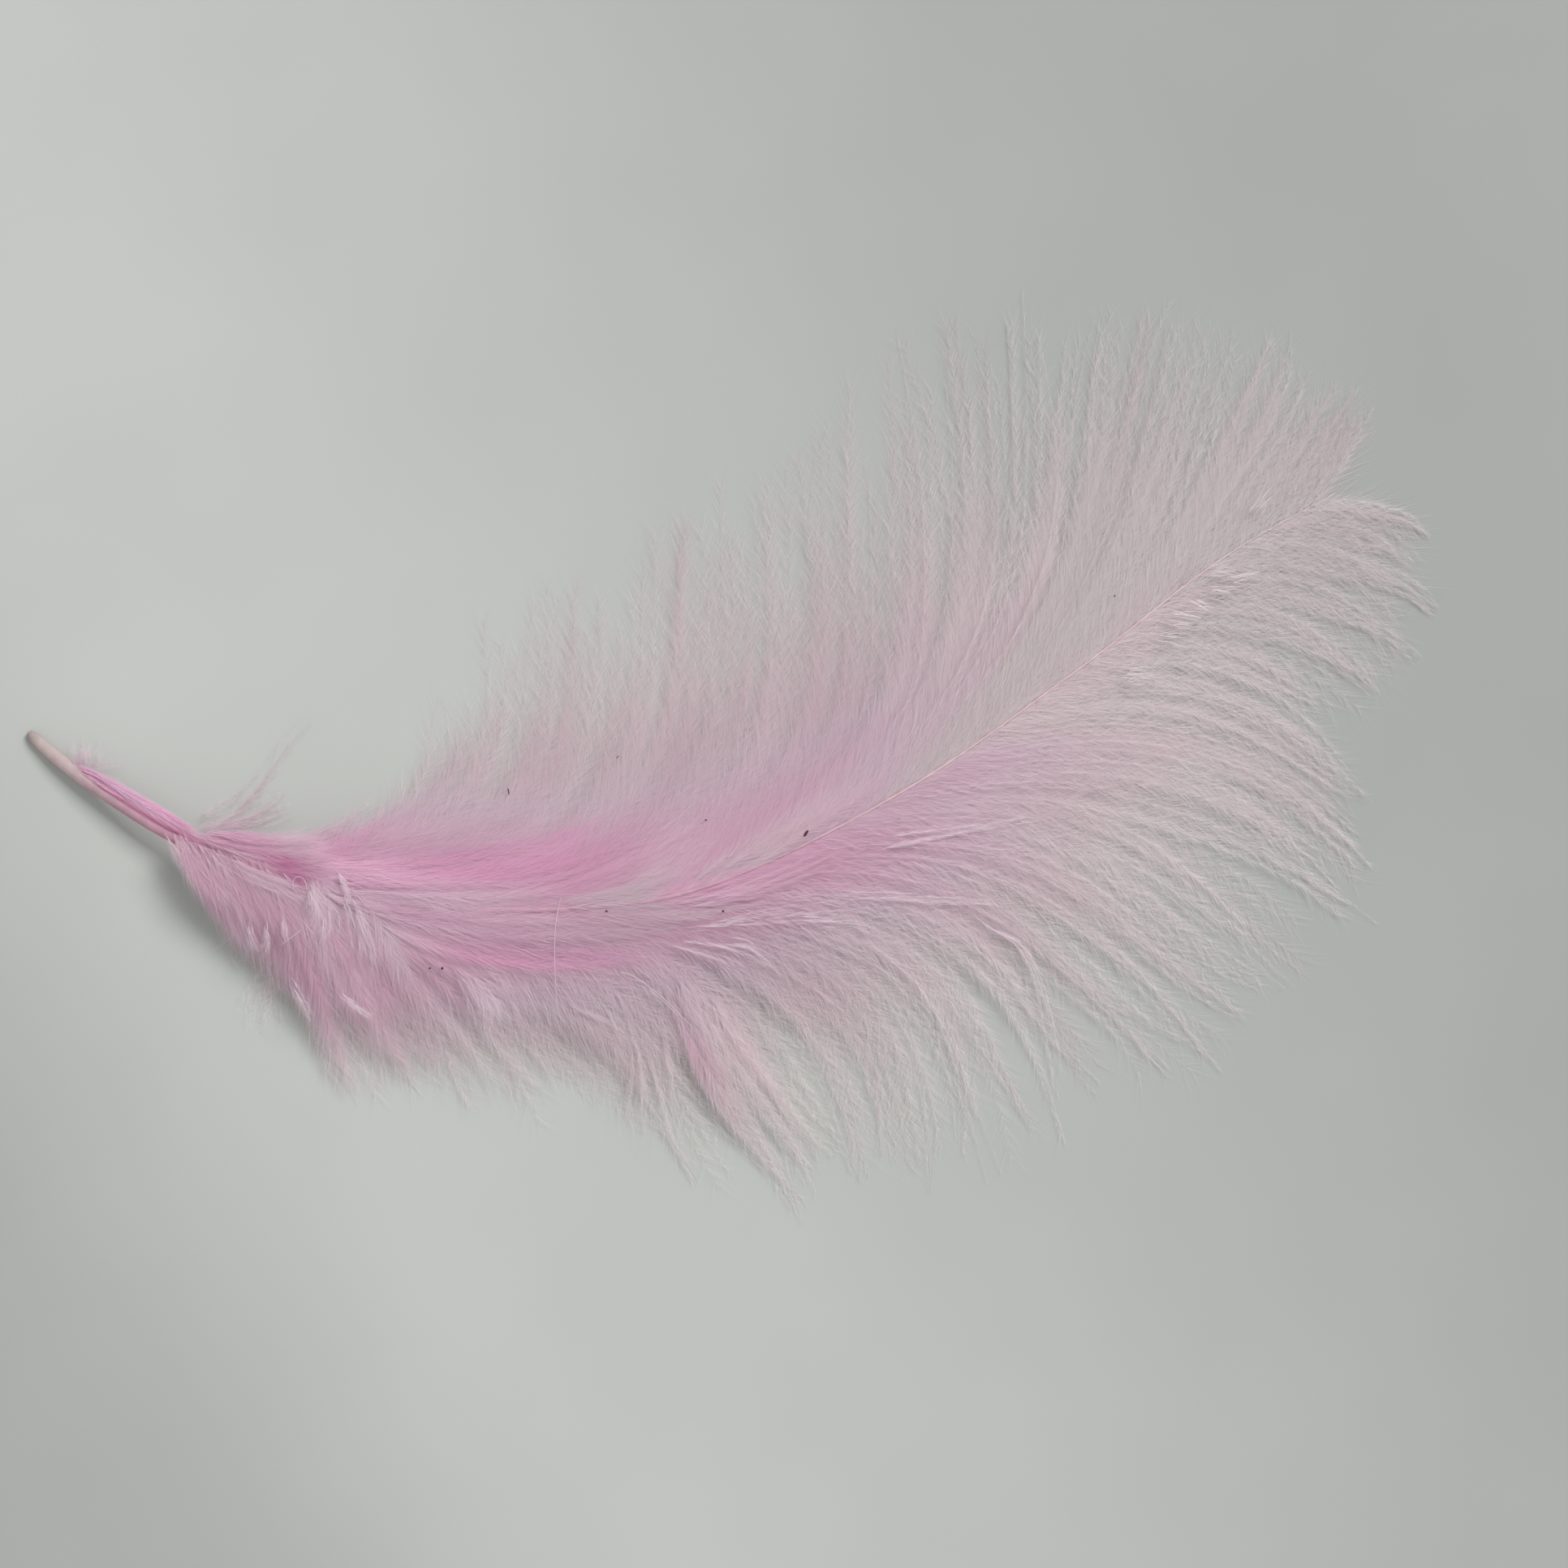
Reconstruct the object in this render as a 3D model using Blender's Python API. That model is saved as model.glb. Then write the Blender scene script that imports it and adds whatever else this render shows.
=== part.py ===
"""A dyed marabou feather, lying as it was dropped: a bent shaft with downy locks down both sides.

The feather grew as one piece, so it is one object. Plan view: +X runs from the quill to the tip,
+Y is the side of the long upper vane, and z = 0 is the surface that the feather lies on.
"""

import math

import bmesh
import bpy
from mathutils import Matrix, Vector

MM = 0.001

# Driving sizes, in millimetres.
# The shaft's line: x, y and the height of its middle, from the quill's blunt end to the thin tip.
SHAFT_LINE = (
    (-69.5, 2.45, 0.30),
    (-65.8, -0.4, 0.9),
    (-61.7, -3.5, 1.5),
    (-55.0, -7.9, 2.4),
    (-46.7, -11.2, 3.2),
    (-37.1, -13.6, 3.7),
    (-22.7, -15.1, 4.1),
    (-4.3, -13.3, 4.2),
    (15.7, -4.0, 3.8),
    (33.3, 8.1, 3.0),
    (47.7, 19.2, 2.0),
    (59.3, 25.9, 1.0),
)
STEPS_PER_STRETCH = 24
# The shaft's radius at a distance from the quill's end.
SHAFT_RADII = ((0.0, 0.30), (0.8, 0.52), (4.0, 0.66), (20.0, 0.62), (45.0, 0.48), (90.0, 0.30), (145.0, 0.14))
# The rounded end's rings stand close together, and the rest are spread evenly.
END_RINGS = (0.0, 0.8)
SHAFT_RINGS = 26
SHAFT_SIDES = 8

# Each lock: where it leaves the shaft, its tip's x and y, the way its tip points in degrees
# from +X, and its greatest width. The first list is the lower vane and the second the upper.
LOWER_LOCKS = (
    (140.5, 68.5, 21.5, -42, 2.2),
    (137.0, 66.0, 19.5, -32, 2.2),
    (131.5, 69.8, 14.4, -38, 3.4),
    (125.5, 67.5, 9.5, -45, 4.0),
    (119.5, 63.0, 6.0, -42, 4.0),
    (114.0, 57.5, 5.0, -25, 4.0),
    (110.0, 60.0, -2.5, -52, 4.0),
    (104.0, 62.5, -5.0, -32, 3.6),
    (99.0, 62.5, -10.0, -49, 3.8),
    (92.5, 59.0, -12.5, -48, 3.6),
    (89.0, 64.0, -17.0, -42, 3.4),
    (85.5, 55.0, -23.0, -40, 3.4),
    (82.0, 51.0, -23.5, -28, 3.4),
    (77.0, 48.5, -32.0, -74, 3.4),
    (75.0, 47.5, -29.5, -22, 3.4),
    (73.5, 43.0, -31.5, -50, 3.6),
    (70.5, 36.0, -32.5, -46, 3.4),
    (69.0, 32.5, -38.5, -80, 4.2),
    (66.0, 26.0, -42.0, -76, 4.2),
    (64.5, 22.0, -39.0, -98, 3.4),
    (63.0, 19.5, -43.0, -90, 4.2),
    (59.5, 15.5, -40.5, -80, 4.4),
    (56.0, 12.0, -42.0, -70, 4.4),
    (52.5, 8.5, -40.5, -50, 4.4),
    (49.5, 7.0, -46.0, -62, 5.0),
    (46.5, 3.0, -40.5, -44, 5.0),
    (44.0, -3.5, -42.0, -68, 4.6),
    (41.0, -8.5, -37.5, -80, 4.4),
    (38.5, -12.5, -34.0, -42, 4.8),
    (35.5, -18.0, -35.0, -60, 5.2),
    (32.5, -25.0, -36.5, -62, 5.4),
    (29.5, -34.0, -31.0, -45, 4.8),
    (27.0, -36.5, -37.0, -62, 5.0),
    (24.0, -44.5, -25.5, -70, 3.4),
    (21.5, -49.0, -19.0, -60, 2.4),
)
UPPER_LOCKS = (
    (140.5, 68.0, 30.5, 62, 2.0),
    (137.0, 65.0, 33.5, 58, 2.2),
    (131.5, 63.0, 36.0, 56, 2.8),
    (127.5, 59.5, 36.5, 60, 2.8),
    (122.5, 56.5, 42.0, 80, 3.0),
    (116.0, 53.0, 41.0, 66, 3.0),
    (111.0, 49.0, 40.0, 72, 3.0),
    (106.5, 47.5, 42.0, 66, 3.2),
    (102.0, 44.0, 45.5, 80, 3.2),
    (97.5, 41.0, 44.0, 82, 3.2),
    (90.0, 36.0, 44.5, 74, 3.4),
    (85.5, 33.5, 40.5, 84, 3.4),
    (81.0, 28.5, 46.3, 97, 3.4),
    (75.5, 26.0, 43.0, 97, 3.6),
    (70.5, 21.5, 44.0, 98, 3.6),
    (66.5, 16.5, 42.0, 94, 3.4),
    (63.0, 15.5, 27.5, 88, 4.0),
    (59.0, 10.0, 23.0, 84, 4.4),
    (54.5, 3.0, 25.0, 94, 4.2),
    (50.5, -1.5, 28.5, 102, 3.8),
    (47.5, -6.5, 25.0, 76, 4.0),
    (44.0, -9.5, 18.5, 88, 4.6),
    (41.0, -14.0, 17.0, 84, 4.6),
    (37.5, -18.5, 15.5, 85, 4.6),
    (34.0, -24.0, 13.0, 118, 4.2),
    (31.0, -26.0, 6.5, 84, 4.4),
    (29.0, -26.5, -2.0, 50, 4.0),
    (26.0, -35.0, -2.5, 58, 3.8),
    (22.5, -42.0, 4.0, 60, 3.0),
    (20.5, -44.5, -3.0, 34, 2.4),
)
# Matted locks that lie along the top of the shaft and hide it. The first is the band on the quill.
MATTED_LOCKS = (
    (6.5, -50.0, -8.6, -26, 2.0),
    (17.0, -40.0, -11.0, -12, 3.4),
    (29.0, -12.0, -9.5, 12, 5.2),
    (33.0, -14.0, -20.0, -22, 5.2),
    (42.0, 5.0, -16.0, 4, 5.0),
    (54.0, 18.0, -7.0, 26, 4.6),
)
# Small tufts on the bare quill.
QUILL_TUFTS = (
    (7.0, -64.0, 1.9, 96, 1.1),
    (7.8, -61.4, 0.0, 34, 0.9),
    (8.6, -60.0, -1.9, -4, 0.7),
)

# How far from the shaft's own direction a lock sets out, in degrees, by its distance from the quill's end.
LOWER_LEAVING = ((18.0, 14.0), (26.0, 34.0), (45.0, 25.0), (70.0, 13.0), (110.0, 16.0), (145.0, 24.0))
UPPER_LEAVING = ((18.0, 56.0), (30.0, 46.0), (45.0, 24.0), (70.0, 13.0), (110.0, 16.0), (145.0, 24.0))
MATTED_LEAVING = ((0.0, 6.0), (30.0, 9.0), (145.0, 9.0))
TUFT_LEAVING = ((0.0, 100.0), (8.0, 45.0))
# Where the bends of a lock lie, as shares of its span, and how high it arches over its ends.
ROOT_REACH = 0.58
TIP_REACH = 0.42
LOWER_ARCH = 2.0
UPPER_ARCH = 0.9
MATTED_ARCH = 1.3
TUFT_ARCH = 0.3
LOCK_TIP_HEIGHT = -0.05
TIP_ARCH_SHARE = 0.25
# A matted lock's tip is as high as the shaft is this far beyond the lock's root.
MATTED_REACH = 20.0
# Neighbouring locks lie in turn on layers, so that they pass over each other.
LAYER_STEP = 0.9
LAYERS = 4
# A lock's cross-section is a low gable: its ridge above its middle line and its edges below it.
LOCK_THICKNESS = 0.8
RIDGE_SHARE = 0.7
EDGE_SHARE = -0.3
ROOT_THICKNESS = 0.45
ROOT_FULLNESS = 0.14
LOCK_RINGS = 7
TUFT_RINGS = 4
DIRECTION_STEP = 0.02

# The surface's cutter: how far it spreads each way, and how deep it is.
CUTTER_SPREAD = 300.0
CUTTER_DEPTH = 20.0

SMOOTH_BELOW = math.radians(50)
DOWN_PINK = (0.62, 0.36, 0.50, 1.0)
HORN_PINK = (0.60, 0.45, 0.48, 1.0)


def along(table, where):
    """The value at a distance, straight between the table's rows."""
    for (a, low), (b, high) in zip(table, table[1:]):
        if where <= b:
            return low + (high - low) * max(where - a, 0.0) / (b - a)
    return table[-1][1]


def curve_through(points):
    """A smooth curve through the points."""
    points = [Vector(p) for p in points]
    ends = [2 * points[0] - points[1], *points, 2 * points[-1] - points[-2]]
    line = []
    for a, b, c, d in zip(ends, ends[1:], ends[2:], ends[3:]):
        for step in range(STEPS_PER_STRETCH):
            t = step / STEPS_PER_STRETCH
            bent = (2 * a - 5 * b + 4 * c - d) * t**2 + (3 * b - a - 3 * c + d) * t**3
            line.append(0.5 * (2 * b + (c - a) * t + bent))
    return [*line, points[-1]]


class Shaft:
    """The shaft's middle line, read by the distance along it."""

    def __init__(self):
        self.line = curve_through(SHAFT_LINE)
        self.reached = [0.0]
        for a, b in zip(self.line, self.line[1:]):
            self.reached.append(self.reached[-1] + (b - a).length)
        self.length = self.reached[-1]

    def point(self, where):
        where = min(max(where, 0.0), self.length)
        for i, reached in enumerate(self.reached[1:]):
            if where <= reached:
                start = self.reached[i]
                return self.line[i].lerp(self.line[i + 1], (where - start) / (reached - start))
        return self.line[-1]

    def direction(self, where):
        return (self.point(where + 0.5) - self.point(where - 0.5)).normalized()

    def heading(self, where):
        """The plan direction in degrees from +X."""
        forward = self.direction(where)
        return math.degrees(math.atan2(forward.y, forward.x))


def material(name, colour, roughness):
    made = bpy.data.materials.new(name)
    made.use_nodes = True
    made.diffuse_color = colour
    surface = made.node_tree.nodes["Principled BSDF"]
    surface.inputs["Base Color"].default_value = colour
    surface.inputs["Roughness"].default_value = roughness
    surface.inputs["Metallic"].default_value = 0.0
    return made


def pink_down():
    return material("pink_down", DOWN_PINK, 0.9)


def quill_horn():
    return material("quill_horn", HORN_PINK, 0.45)


def ring(bm, middle, forward, outline):
    """One ring of vertices: each pair of the outline is sideways and upwards from the middle."""
    side = Vector((-forward.y, forward.x, 0.0)).normalized()
    up = forward.cross(side).normalized()
    return [bm.verts.new((middle + side * s + up * u) * MM) for s, u in outline]


def skin(bm, rings):
    """Side faces from ring to ring."""
    for near, far in zip(rings, rings[1:]):
        for i in range(len(near)):
            j = (i + 1) % len(near)
            bm.faces.new((near[i], near[j], far[j], far[i]))


def mesh_object(name, bm, surface):
    bmesh.ops.recalc_face_normals(bm, faces=bm.faces)
    mesh = bpy.data.meshes.new(name)
    bm.to_mesh(mesh)
    bm.free()
    mesh.materials.append(surface)
    return bpy.data.objects.new(name, mesh)


def make_shaft(shaft, horn):
    """The round horn shaft, blunt at the quill and hair-thin at the tip."""
    bm = bmesh.new()
    turns = [2 * math.pi * k / SHAFT_SIDES for k in range(SHAFT_SIDES)]
    spread = [shaft.length * i / SHAFT_RINGS for i in range(1, SHAFT_RINGS + 1)]
    rings = []
    for where in (*END_RINGS, *spread):
        radius = along(SHAFT_RADII, where)
        outline = [(radius * math.cos(turn), radius * math.sin(turn)) for turn in turns]
        rings.append(ring(bm, shaft.point(where), shaft.direction(where), outline))
    skin(bm, rings)
    bm.faces.new(rings[0])
    bm.faces.new(rings[-1])
    feather = mesh_object("feather", bm, horn)
    bpy.context.scene.collection.objects.link(feather)
    return feather


def turned(degrees):
    """The level direction at this angle from +X."""
    angle = math.radians(degrees)
    return Vector((math.cos(angle), math.sin(angle), 0.0))


def lock_line(shaft, row, leaving, arch, tip_height):
    """A lock's four control points: out along the shaft's way, then round to the way its tip points."""
    where, tip_x, tip_y, heading, _ = row
    root = shaft.point(where)
    tip = Vector((tip_x, tip_y, tip_height))
    span = (tip - root).length
    first = root + turned(shaft.heading(where) + leaving) * span * ROOT_REACH
    first.z = root.z + arch
    last = tip - turned(heading) * span * TIP_REACH
    last.z = tip.z + arch * TIP_ARCH_SHARE
    return root, first, last, tip


def bezier(points, t):
    a, b, c, d = points
    return a * (1 - t) ** 3 + b * 3 * t * (1 - t) ** 2 + c * 3 * t**2 * (1 - t) + d * t**3


def lock_fullness(t):
    """A lock's width at a share of its length: narrow at the root, widest before the middle, pointed."""
    return ROOT_FULLNESS + (1 - ROOT_FULLNESS) * math.sin(math.pi * min(t + 0.03, 1.0) ** 0.9) ** 0.8


def make_lock(name, line, width, ring_count, down):
    """A leaf-shaped lock, flat below, with a low ridge above, pointed at its tip."""
    bm = bmesh.new()
    rings = []
    for i in range(ring_count):
        t = i / ring_count
        forward = bezier(line, t + DIRECTION_STEP) - bezier(line, max(t - DIRECTION_STEP, 0.0))
        fullness = lock_fullness(t)
        half = 0.5 * width * fullness
        thick = LOCK_THICKNESS * (ROOT_THICKNESS + (1 - ROOT_THICKNESS) * fullness)
        gable = ((half, EDGE_SHARE * thick), (0.0, RIDGE_SHARE * thick), (-half, EDGE_SHARE * thick))
        rings.append(ring(bm, bezier(line, t), forward.normalized(), gable))
    skin(bm, rings)
    bm.faces.new(rings[0])
    point = bm.verts.new(bezier(line, 1.0) * MM)
    for a, b in zip(rings[-1], rings[-1][1:] + rings[-1][:1]):
        bm.faces.new((a, b, point))
    return mesh_object(name, bm, down)


def add_locks(locks, down, shaft, name, rows, lean, arches, tip_heights, ring_count):
    """The locks of one table, put in the collection that is later joined to the shaft."""
    for i, (row, arch, tip_height) in enumerate(zip(rows, arches, tip_heights)):
        line = lock_line(shaft, row, lean(row[0]), arch, tip_height)
        lock = make_lock(f"{name}_{i}", line, row[-1], ring_count, down)
        locks.objects.link(lock)
        lock.hide_render = True
        lock.display_type = "WIRE"


def layered(arch, rows):
    """The arch of each row's lock, on its layer."""
    return [arch + i % LAYERS * LAYER_STEP for i in range(len(rows))]


def make_all_locks(shaft, down):
    locks = bpy.data.collections.new("locks")
    bpy.context.scene.collection.children.link(locks)
    add_locks(
        locks, down, shaft, "lower_lock", LOWER_LOCKS, lambda where: -along(LOWER_LEAVING, where),
        layered(LOWER_ARCH, LOWER_LOCKS), [LOCK_TIP_HEIGHT] * len(LOWER_LOCKS), LOCK_RINGS,
    )
    add_locks(
        locks, down, shaft, "upper_lock", UPPER_LOCKS, lambda where: along(UPPER_LEAVING, where),
        layered(UPPER_ARCH, UPPER_LOCKS), [LOCK_TIP_HEIGHT] * len(UPPER_LOCKS), LOCK_RINGS,
    )
    add_locks(
        locks, down, shaft, "matted_lock", MATTED_LOCKS, lambda where: along(MATTED_LEAVING, where),
        [MATTED_ARCH] * len(MATTED_LOCKS), [shaft.point(row[0] + MATTED_REACH).z for row in MATTED_LOCKS], LOCK_RINGS,
    )
    add_locks(
        locks, down, shaft, "quill_tuft", QUILL_TUFTS, lambda where: along(TUFT_LEAVING, where),
        [TUFT_ARCH] * len(QUILL_TUFTS), [shaft.point(row[0]).z for row in QUILL_TUFTS], TUFT_RINGS,
    )
    return locks


def boolean(target, operation, name):
    """A Boolean modifier on the target, ready to be given what it joins or cuts with."""
    modifier = target.modifiers.new(name, "BOOLEAN")
    modifier.operation = operation
    modifier.solver = "EXACT"
    modifier.material_mode = "TRANSFER"
    return modifier


def make_table_cutter(surface):
    """Everything below z = 0, which presses what rests there flat."""
    bpy.ops.mesh.primitive_cube_add(size=MM)
    cutter = bpy.context.object
    cutter.name = "table_cutter"
    cutter.data.transform(Matrix.Diagonal((CUTTER_SPREAD, CUTTER_SPREAD, CUTTER_DEPTH, 1.0)))
    cutter.data.materials.append(surface)
    cutter.location.z = -0.5 * CUTTER_DEPTH * MM
    cutter.hide_render = True
    cutter.display_type = "WIRE"
    return cutter


def shells(bm):
    """The faces of each separate closed surface, the smallest first."""
    left = set(bm.faces)
    found = []
    while left:
        shell = []
        edge_of = [left.pop()]
        while edge_of:
            face = edge_of.pop()
            shell.append(face)
            near = {other for edge in face.edges for other in edge.link_faces} & left
            left -= near
            edge_of.extend(near)
        found.append(shell)
    return sorted(found, key=len)


def settle(feather):
    """Replaces the feather's mesh with its joined and cut form, without the crumbs that joining leaves."""
    graph = bpy.context.evaluated_depsgraph_get()
    joined = bpy.data.meshes.new_from_object(feather.evaluated_get(graph))
    bm = bmesh.new()
    bm.from_mesh(joined)
    bmesh.ops.triangulate(bm, faces=bm.faces)
    for crumb in shells(bm)[:-1]:
        bmesh.ops.delete(bm, geom=crumb, context="FACES")
    bm.to_mesh(joined)
    bm.free()
    joined.shade_smooth()
    joined.set_sharp_from_angle(angle=SMOOTH_BELOW)
    feather.modifiers.clear()
    feather.data = joined


def build():
    for old in list(bpy.data.objects):
        bpy.data.objects.remove(old)
    down = pink_down()
    shaft = Shaft()
    feather = make_shaft(shaft, quill_horn())
    locks = make_all_locks(shaft, down)
    union = boolean(feather, "UNION", "locks")
    union.operand_type = "COLLECTION"
    union.collection = locks
    boolean(feather, "DIFFERENCE", "table").object = make_table_cutter(down)
    settle(feather)
    for lock in list(locks.objects):
        bpy.data.objects.remove(lock)


build()
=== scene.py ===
import math

import bpy
import numpy as np
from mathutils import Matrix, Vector


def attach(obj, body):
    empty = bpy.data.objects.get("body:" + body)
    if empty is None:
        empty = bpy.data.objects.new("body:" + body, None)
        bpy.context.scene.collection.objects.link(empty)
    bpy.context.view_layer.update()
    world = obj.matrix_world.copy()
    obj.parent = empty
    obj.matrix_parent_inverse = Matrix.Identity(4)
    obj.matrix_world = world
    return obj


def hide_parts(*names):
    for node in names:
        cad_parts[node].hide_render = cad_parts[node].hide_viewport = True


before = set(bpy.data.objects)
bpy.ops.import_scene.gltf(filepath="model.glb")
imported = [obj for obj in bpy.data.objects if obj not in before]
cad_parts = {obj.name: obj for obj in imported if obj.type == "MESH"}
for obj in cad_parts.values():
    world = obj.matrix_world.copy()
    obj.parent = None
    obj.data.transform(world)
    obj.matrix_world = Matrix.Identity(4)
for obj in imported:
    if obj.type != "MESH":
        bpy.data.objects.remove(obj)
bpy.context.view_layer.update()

MM = 0.001
RANDOM = np.random.default_rng(20260)

# Everything below is in millimetres until it becomes a mesh, in the CAD's frame: +X from the quill to
# the thin end, +Y the side of the long upper vane, z = 0 the surface that the feather lies on.
SHAFT_LINE = (
    (-69.5, 2.3, 0.30),
    (-66, -0.65, 0.9),
    (-61.9, -3.65, 1.5),
    (-55, -7.9, 2.4),
    (-46.7, -11.2, 3.2),
    (-37.1, -13.6, 3.7),
    (-22.7, -15.1, 4.1),
    (-4.3, -13.3, 4.2),
    (15.7, -4, 3.8),
    (33.3, 8.1, 3),
    (47.7, 19.2, 2),
    (59.3, 25.9, 1),
)
STEPS_PER_STRETCH = 24
# The shaft's radius at distances along it, from the blunt end of the quill to a hair at the tip.
SHAFT_RADII = (
    (0, 0.30), (0.8, 0.56), (4, 0.68), (20, 0.60), (45, 0.36), (62, 0.22), (80, 0.13),
    (100, 0.10), (130, 0.07), (145, 0.03),
)
STATION_SCALE = 150.0
AWAY_SCALE = 60.0

# Each lock: where it leaves the shaft, its tip's x and y, the way its tip points in degrees, its width.
LOWER_LOCKS = (
    (143, 68, 23, -44, 2),
    (140.5, 68.5, 21.5, -42, 2.2),
    (137, 66, 19.5, -32, 2.2),
    (131.5, 69.5, 14.5, -38, 3.4),
    (125.5, 67.5, 9.5, -45, 4),
    (119.5, 63, 6, -42, 4),
    (114, 57.5, 5, -25, 4),
    (110, 60, -2.5, -52, 4),
    (105, 62.5, -5, -30, 3.4),
    (101, 62, -8, -48, 3.4),
    (96.5, 63, -11.5, -50, 3.4),
    (92.5, 59, -12.5, -48, 3.6),
    (89, 64, -17, -42, 3.4),
    (85.5, 55, -23, -40, 3.4),
    (82.5, 51.5, -22.5, -26, 3.2),
    (78.5, 50, -26, -32, 3.2),
    (77, 48.5, -32, -52, 3.2),
    (75, 47.5, -29.5, -22, 3.4),
    (73.5, 43, -31.5, -50, 3.4),
    (70.5, 36, -32.5, -46, 3.2),
    (69, 32.5, -38.5, -80, 4.2),
    (67.5, 29.5, -37, -62, 3),
    (66, 25.5, -42, -76, 4),
    (64.5, 22, -39, -98, 3.4),
    (63, 19.5, -43, -90, 4.2),
    (61, 18.5, -41.5, -58, 3.6),
    (59, 14.5, -39.5, -92, 4),
    (56.5, 12.5, -42, -74, 4),
    (54.5, 10.5, -39, -46, 4),
    (52, 8, -41, -50, 4.2),
    (49.5, 7, -46, -62, 5),
    (46.5, 3, -40.5, -44, 5),
    (44, -3.5, -42, -68, 4.6),
    (41, -8.5, -37.5, -80, 4.4),
    (38.5, -12.5, -34, -42, 4.8),
    (35.5, -18, -35, -60, 5.2),
    (32.5, -25, -36.5, -62, 5.4),
    (29.5, -34, -31, -45, 4.8),
    (27, -36.5, -37, -62, 5.4),
    (24, -44.5, -25.5, -70, 3.4),
    (21.5, -49, -19, -60, 2.4),
)
UPPER_LOCKS = (
    (143, 63, 32, 52, 1.8),
    (140.5, 63.5, 34.5, 54, 2),
    (137, 61.5, 36, 56, 2.2),
    (131.5, 59.5, 36.5, 58, 2.6),
    (127.5, 57, 38, 66, 2.8),
    (122.5, 55.5, 42, 78, 3),
    (116, 53, 41, 66, 3),
    (111, 49, 40, 72, 3),
    (106.5, 47.5, 42, 66, 3.2),
    (102, 44, 45.5, 80, 3.2),
    (97.5, 41, 44, 82, 3.2),
    (90, 36, 44.5, 74, 3.4),
    (85.5, 33.5, 40.5, 84, 3.4),
    (81, 28.5, 46, 97, 3.4),
    (76.5, 27, 42.5, 97, 3.4),
    (73, 24.5, 43, 95, 3.4),
    (69.5, 20.5, 44, 99, 3.4),
    (66.5, 16.5, 42, 94, 3.4),
    (63, 13, 37, 92, 4),
    (60, 9.5, 32.5, 90, 4.2),
    (56.5, 5.5, 28.5, 92, 4),
    (53.5, 2, 27, 96, 4),
    (50.5, -1.5, 28.5, 102, 3.8),
    (47.5, -6.5, 25, 76, 4),
    (44.5, -9, 18.5, 88, 4.4),
    (42, -13.5, 17.5, 84, 4.4),
    (39, -16.5, 15.5, 84, 4.4),
    (36, -20, 15, 86, 4.2),
    (34, -24, 13, 118, 4),
    (31.5, -26, 6.5, 84, 4.2),
    (29, -26.5, -2, 50, 4),
)
# The angle at which the barbs leave the shaft, at stations along it.
LOWER_LEAVING = ((18, 20), (26, 36), (45, 25), (70, 13), (110, 16), (145, 24))
UPPER_LEAVING = ((18, 56), (30, 46), (45, 24), (70, 13), (110, 16), (145, 24))
# At stations: how much the barbs gather, how far they stray, how uneven their ends are, how high they
# arch, the share of the shaft's height that they keep at their first bend, and how much they cling
# together in little locks.
LOWER_STYLE = (
    (18, 0.45, 1.4, 0.38, 1.6, 0.9, 0.2),
    (45, 0.65, 1.6, 0.30, 0.6, 0.6, 0.3),
    (62, 0.90, 1.3, 0.26, 0.3, 0.45, 0.6),
    (75, 0.85, 1.3, 0.28, 0.2, 0.40, 0.6),
    (95, 0.85, 1.1, 0.26, 0.2, 0.25, 0.8),
    (120, 0.85, 1, 0.20, 0.2, 0.25, 0.8),
    (145, 0.70, 0.8, 0.10, 0.15, 0.4, 0.8),
)
UPPER_STYLE = (
    (18, 0.10, 2, 0.40, 0.5, 0.6, 0),
    (45, 0.10, 2.6, 0.42, 0.2, 0.2, 0),
    (64, 0.15, 2.4, 0.36, 0.2, 0.15, 0.1),
    (80, 0.60, 1.3, 0.22, 0.2, 0.15, 0.6),
    (110, 0.75, 0.9, 0.18, 0.2, 0.2, 0.8),
    (145, 0.70, 0.7, 0.10, 0.15, 0.4, 0.8),
)
# The thin undercoat between the locks, in the same terms.
UNDERCOAT_STYLE = (
    (18, 0.05, 3, 0.35, 0.4, 0.6, 0),
    (40, 0.05, 2.6, 0.28, 0.2, 0.3, 0),
    (145, 0.05, 2.4, 0.20, 0.1, 0.2, 0),
)
# The long barbs that meet in the locks' points.
POINT_STYLE = (
    (80, 1.3, 0.5, 0.06, 1.2, 0.4, 0),
    (110, 1.3, 0.5, 0.05, 0.4, 0.3, 0),
    (145, 1.3, 0.5, 0.05, 0.2, 0.3, 0),
)
# The share of a vane's barbs that has left the shaft by each station.
LOWER_ROOTS = ((19.5, 0), (40, 0.20), (60, 0.45), (100, 0.78), (143.5, 1))
UPPER_ROOTS = ((29, 0), (38, 0.08), (75, 0.60), (143.5, 1))
LOWER_UNDERCOAT_ROOTS = ((32, 0), (55, 0.2), (90, 0.66), (143, 1))
UPPER_UNDERCOAT_ROOTS = ((28, 0), (72, 0.50), (143, 1))
LOWER_POINT_ROOTS = ((42, 0), (80, 0.60), (141, 1))
UPPER_POINT_ROOTS = ((64, 0), (141, 1))
# The shares of a barb's span over which it keeps to its first heading and to its tip's, by station.
LOWER_BENDS = (
    (18, 0.56, 0.42),
    (48, 0.56, 0.44),
    (58, 0.56, 0.52),
    (72, 0.56, 0.44),
    (88, 0.50, 0.32),
    (145, 0.46, 0.30),
)
UPPER_BENDS = (
    (18, 0.56, 0.42),
    (48, 0.56, 0.44),
    (58, 0.56, 0.52),
    (80, 0.56, 0.50),
    (95, 0.56, 0.42),
)
# Neighbouring barbs cling together in little locks this wide along the shaft.
LITTLE_LOCK = (0.9, 2)
# The weights of a lock's neighbours where the down spreads evenly, before it is drawn into the locks.
NEIGHBOURS = (1, 2, 3, 2, 1)
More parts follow.
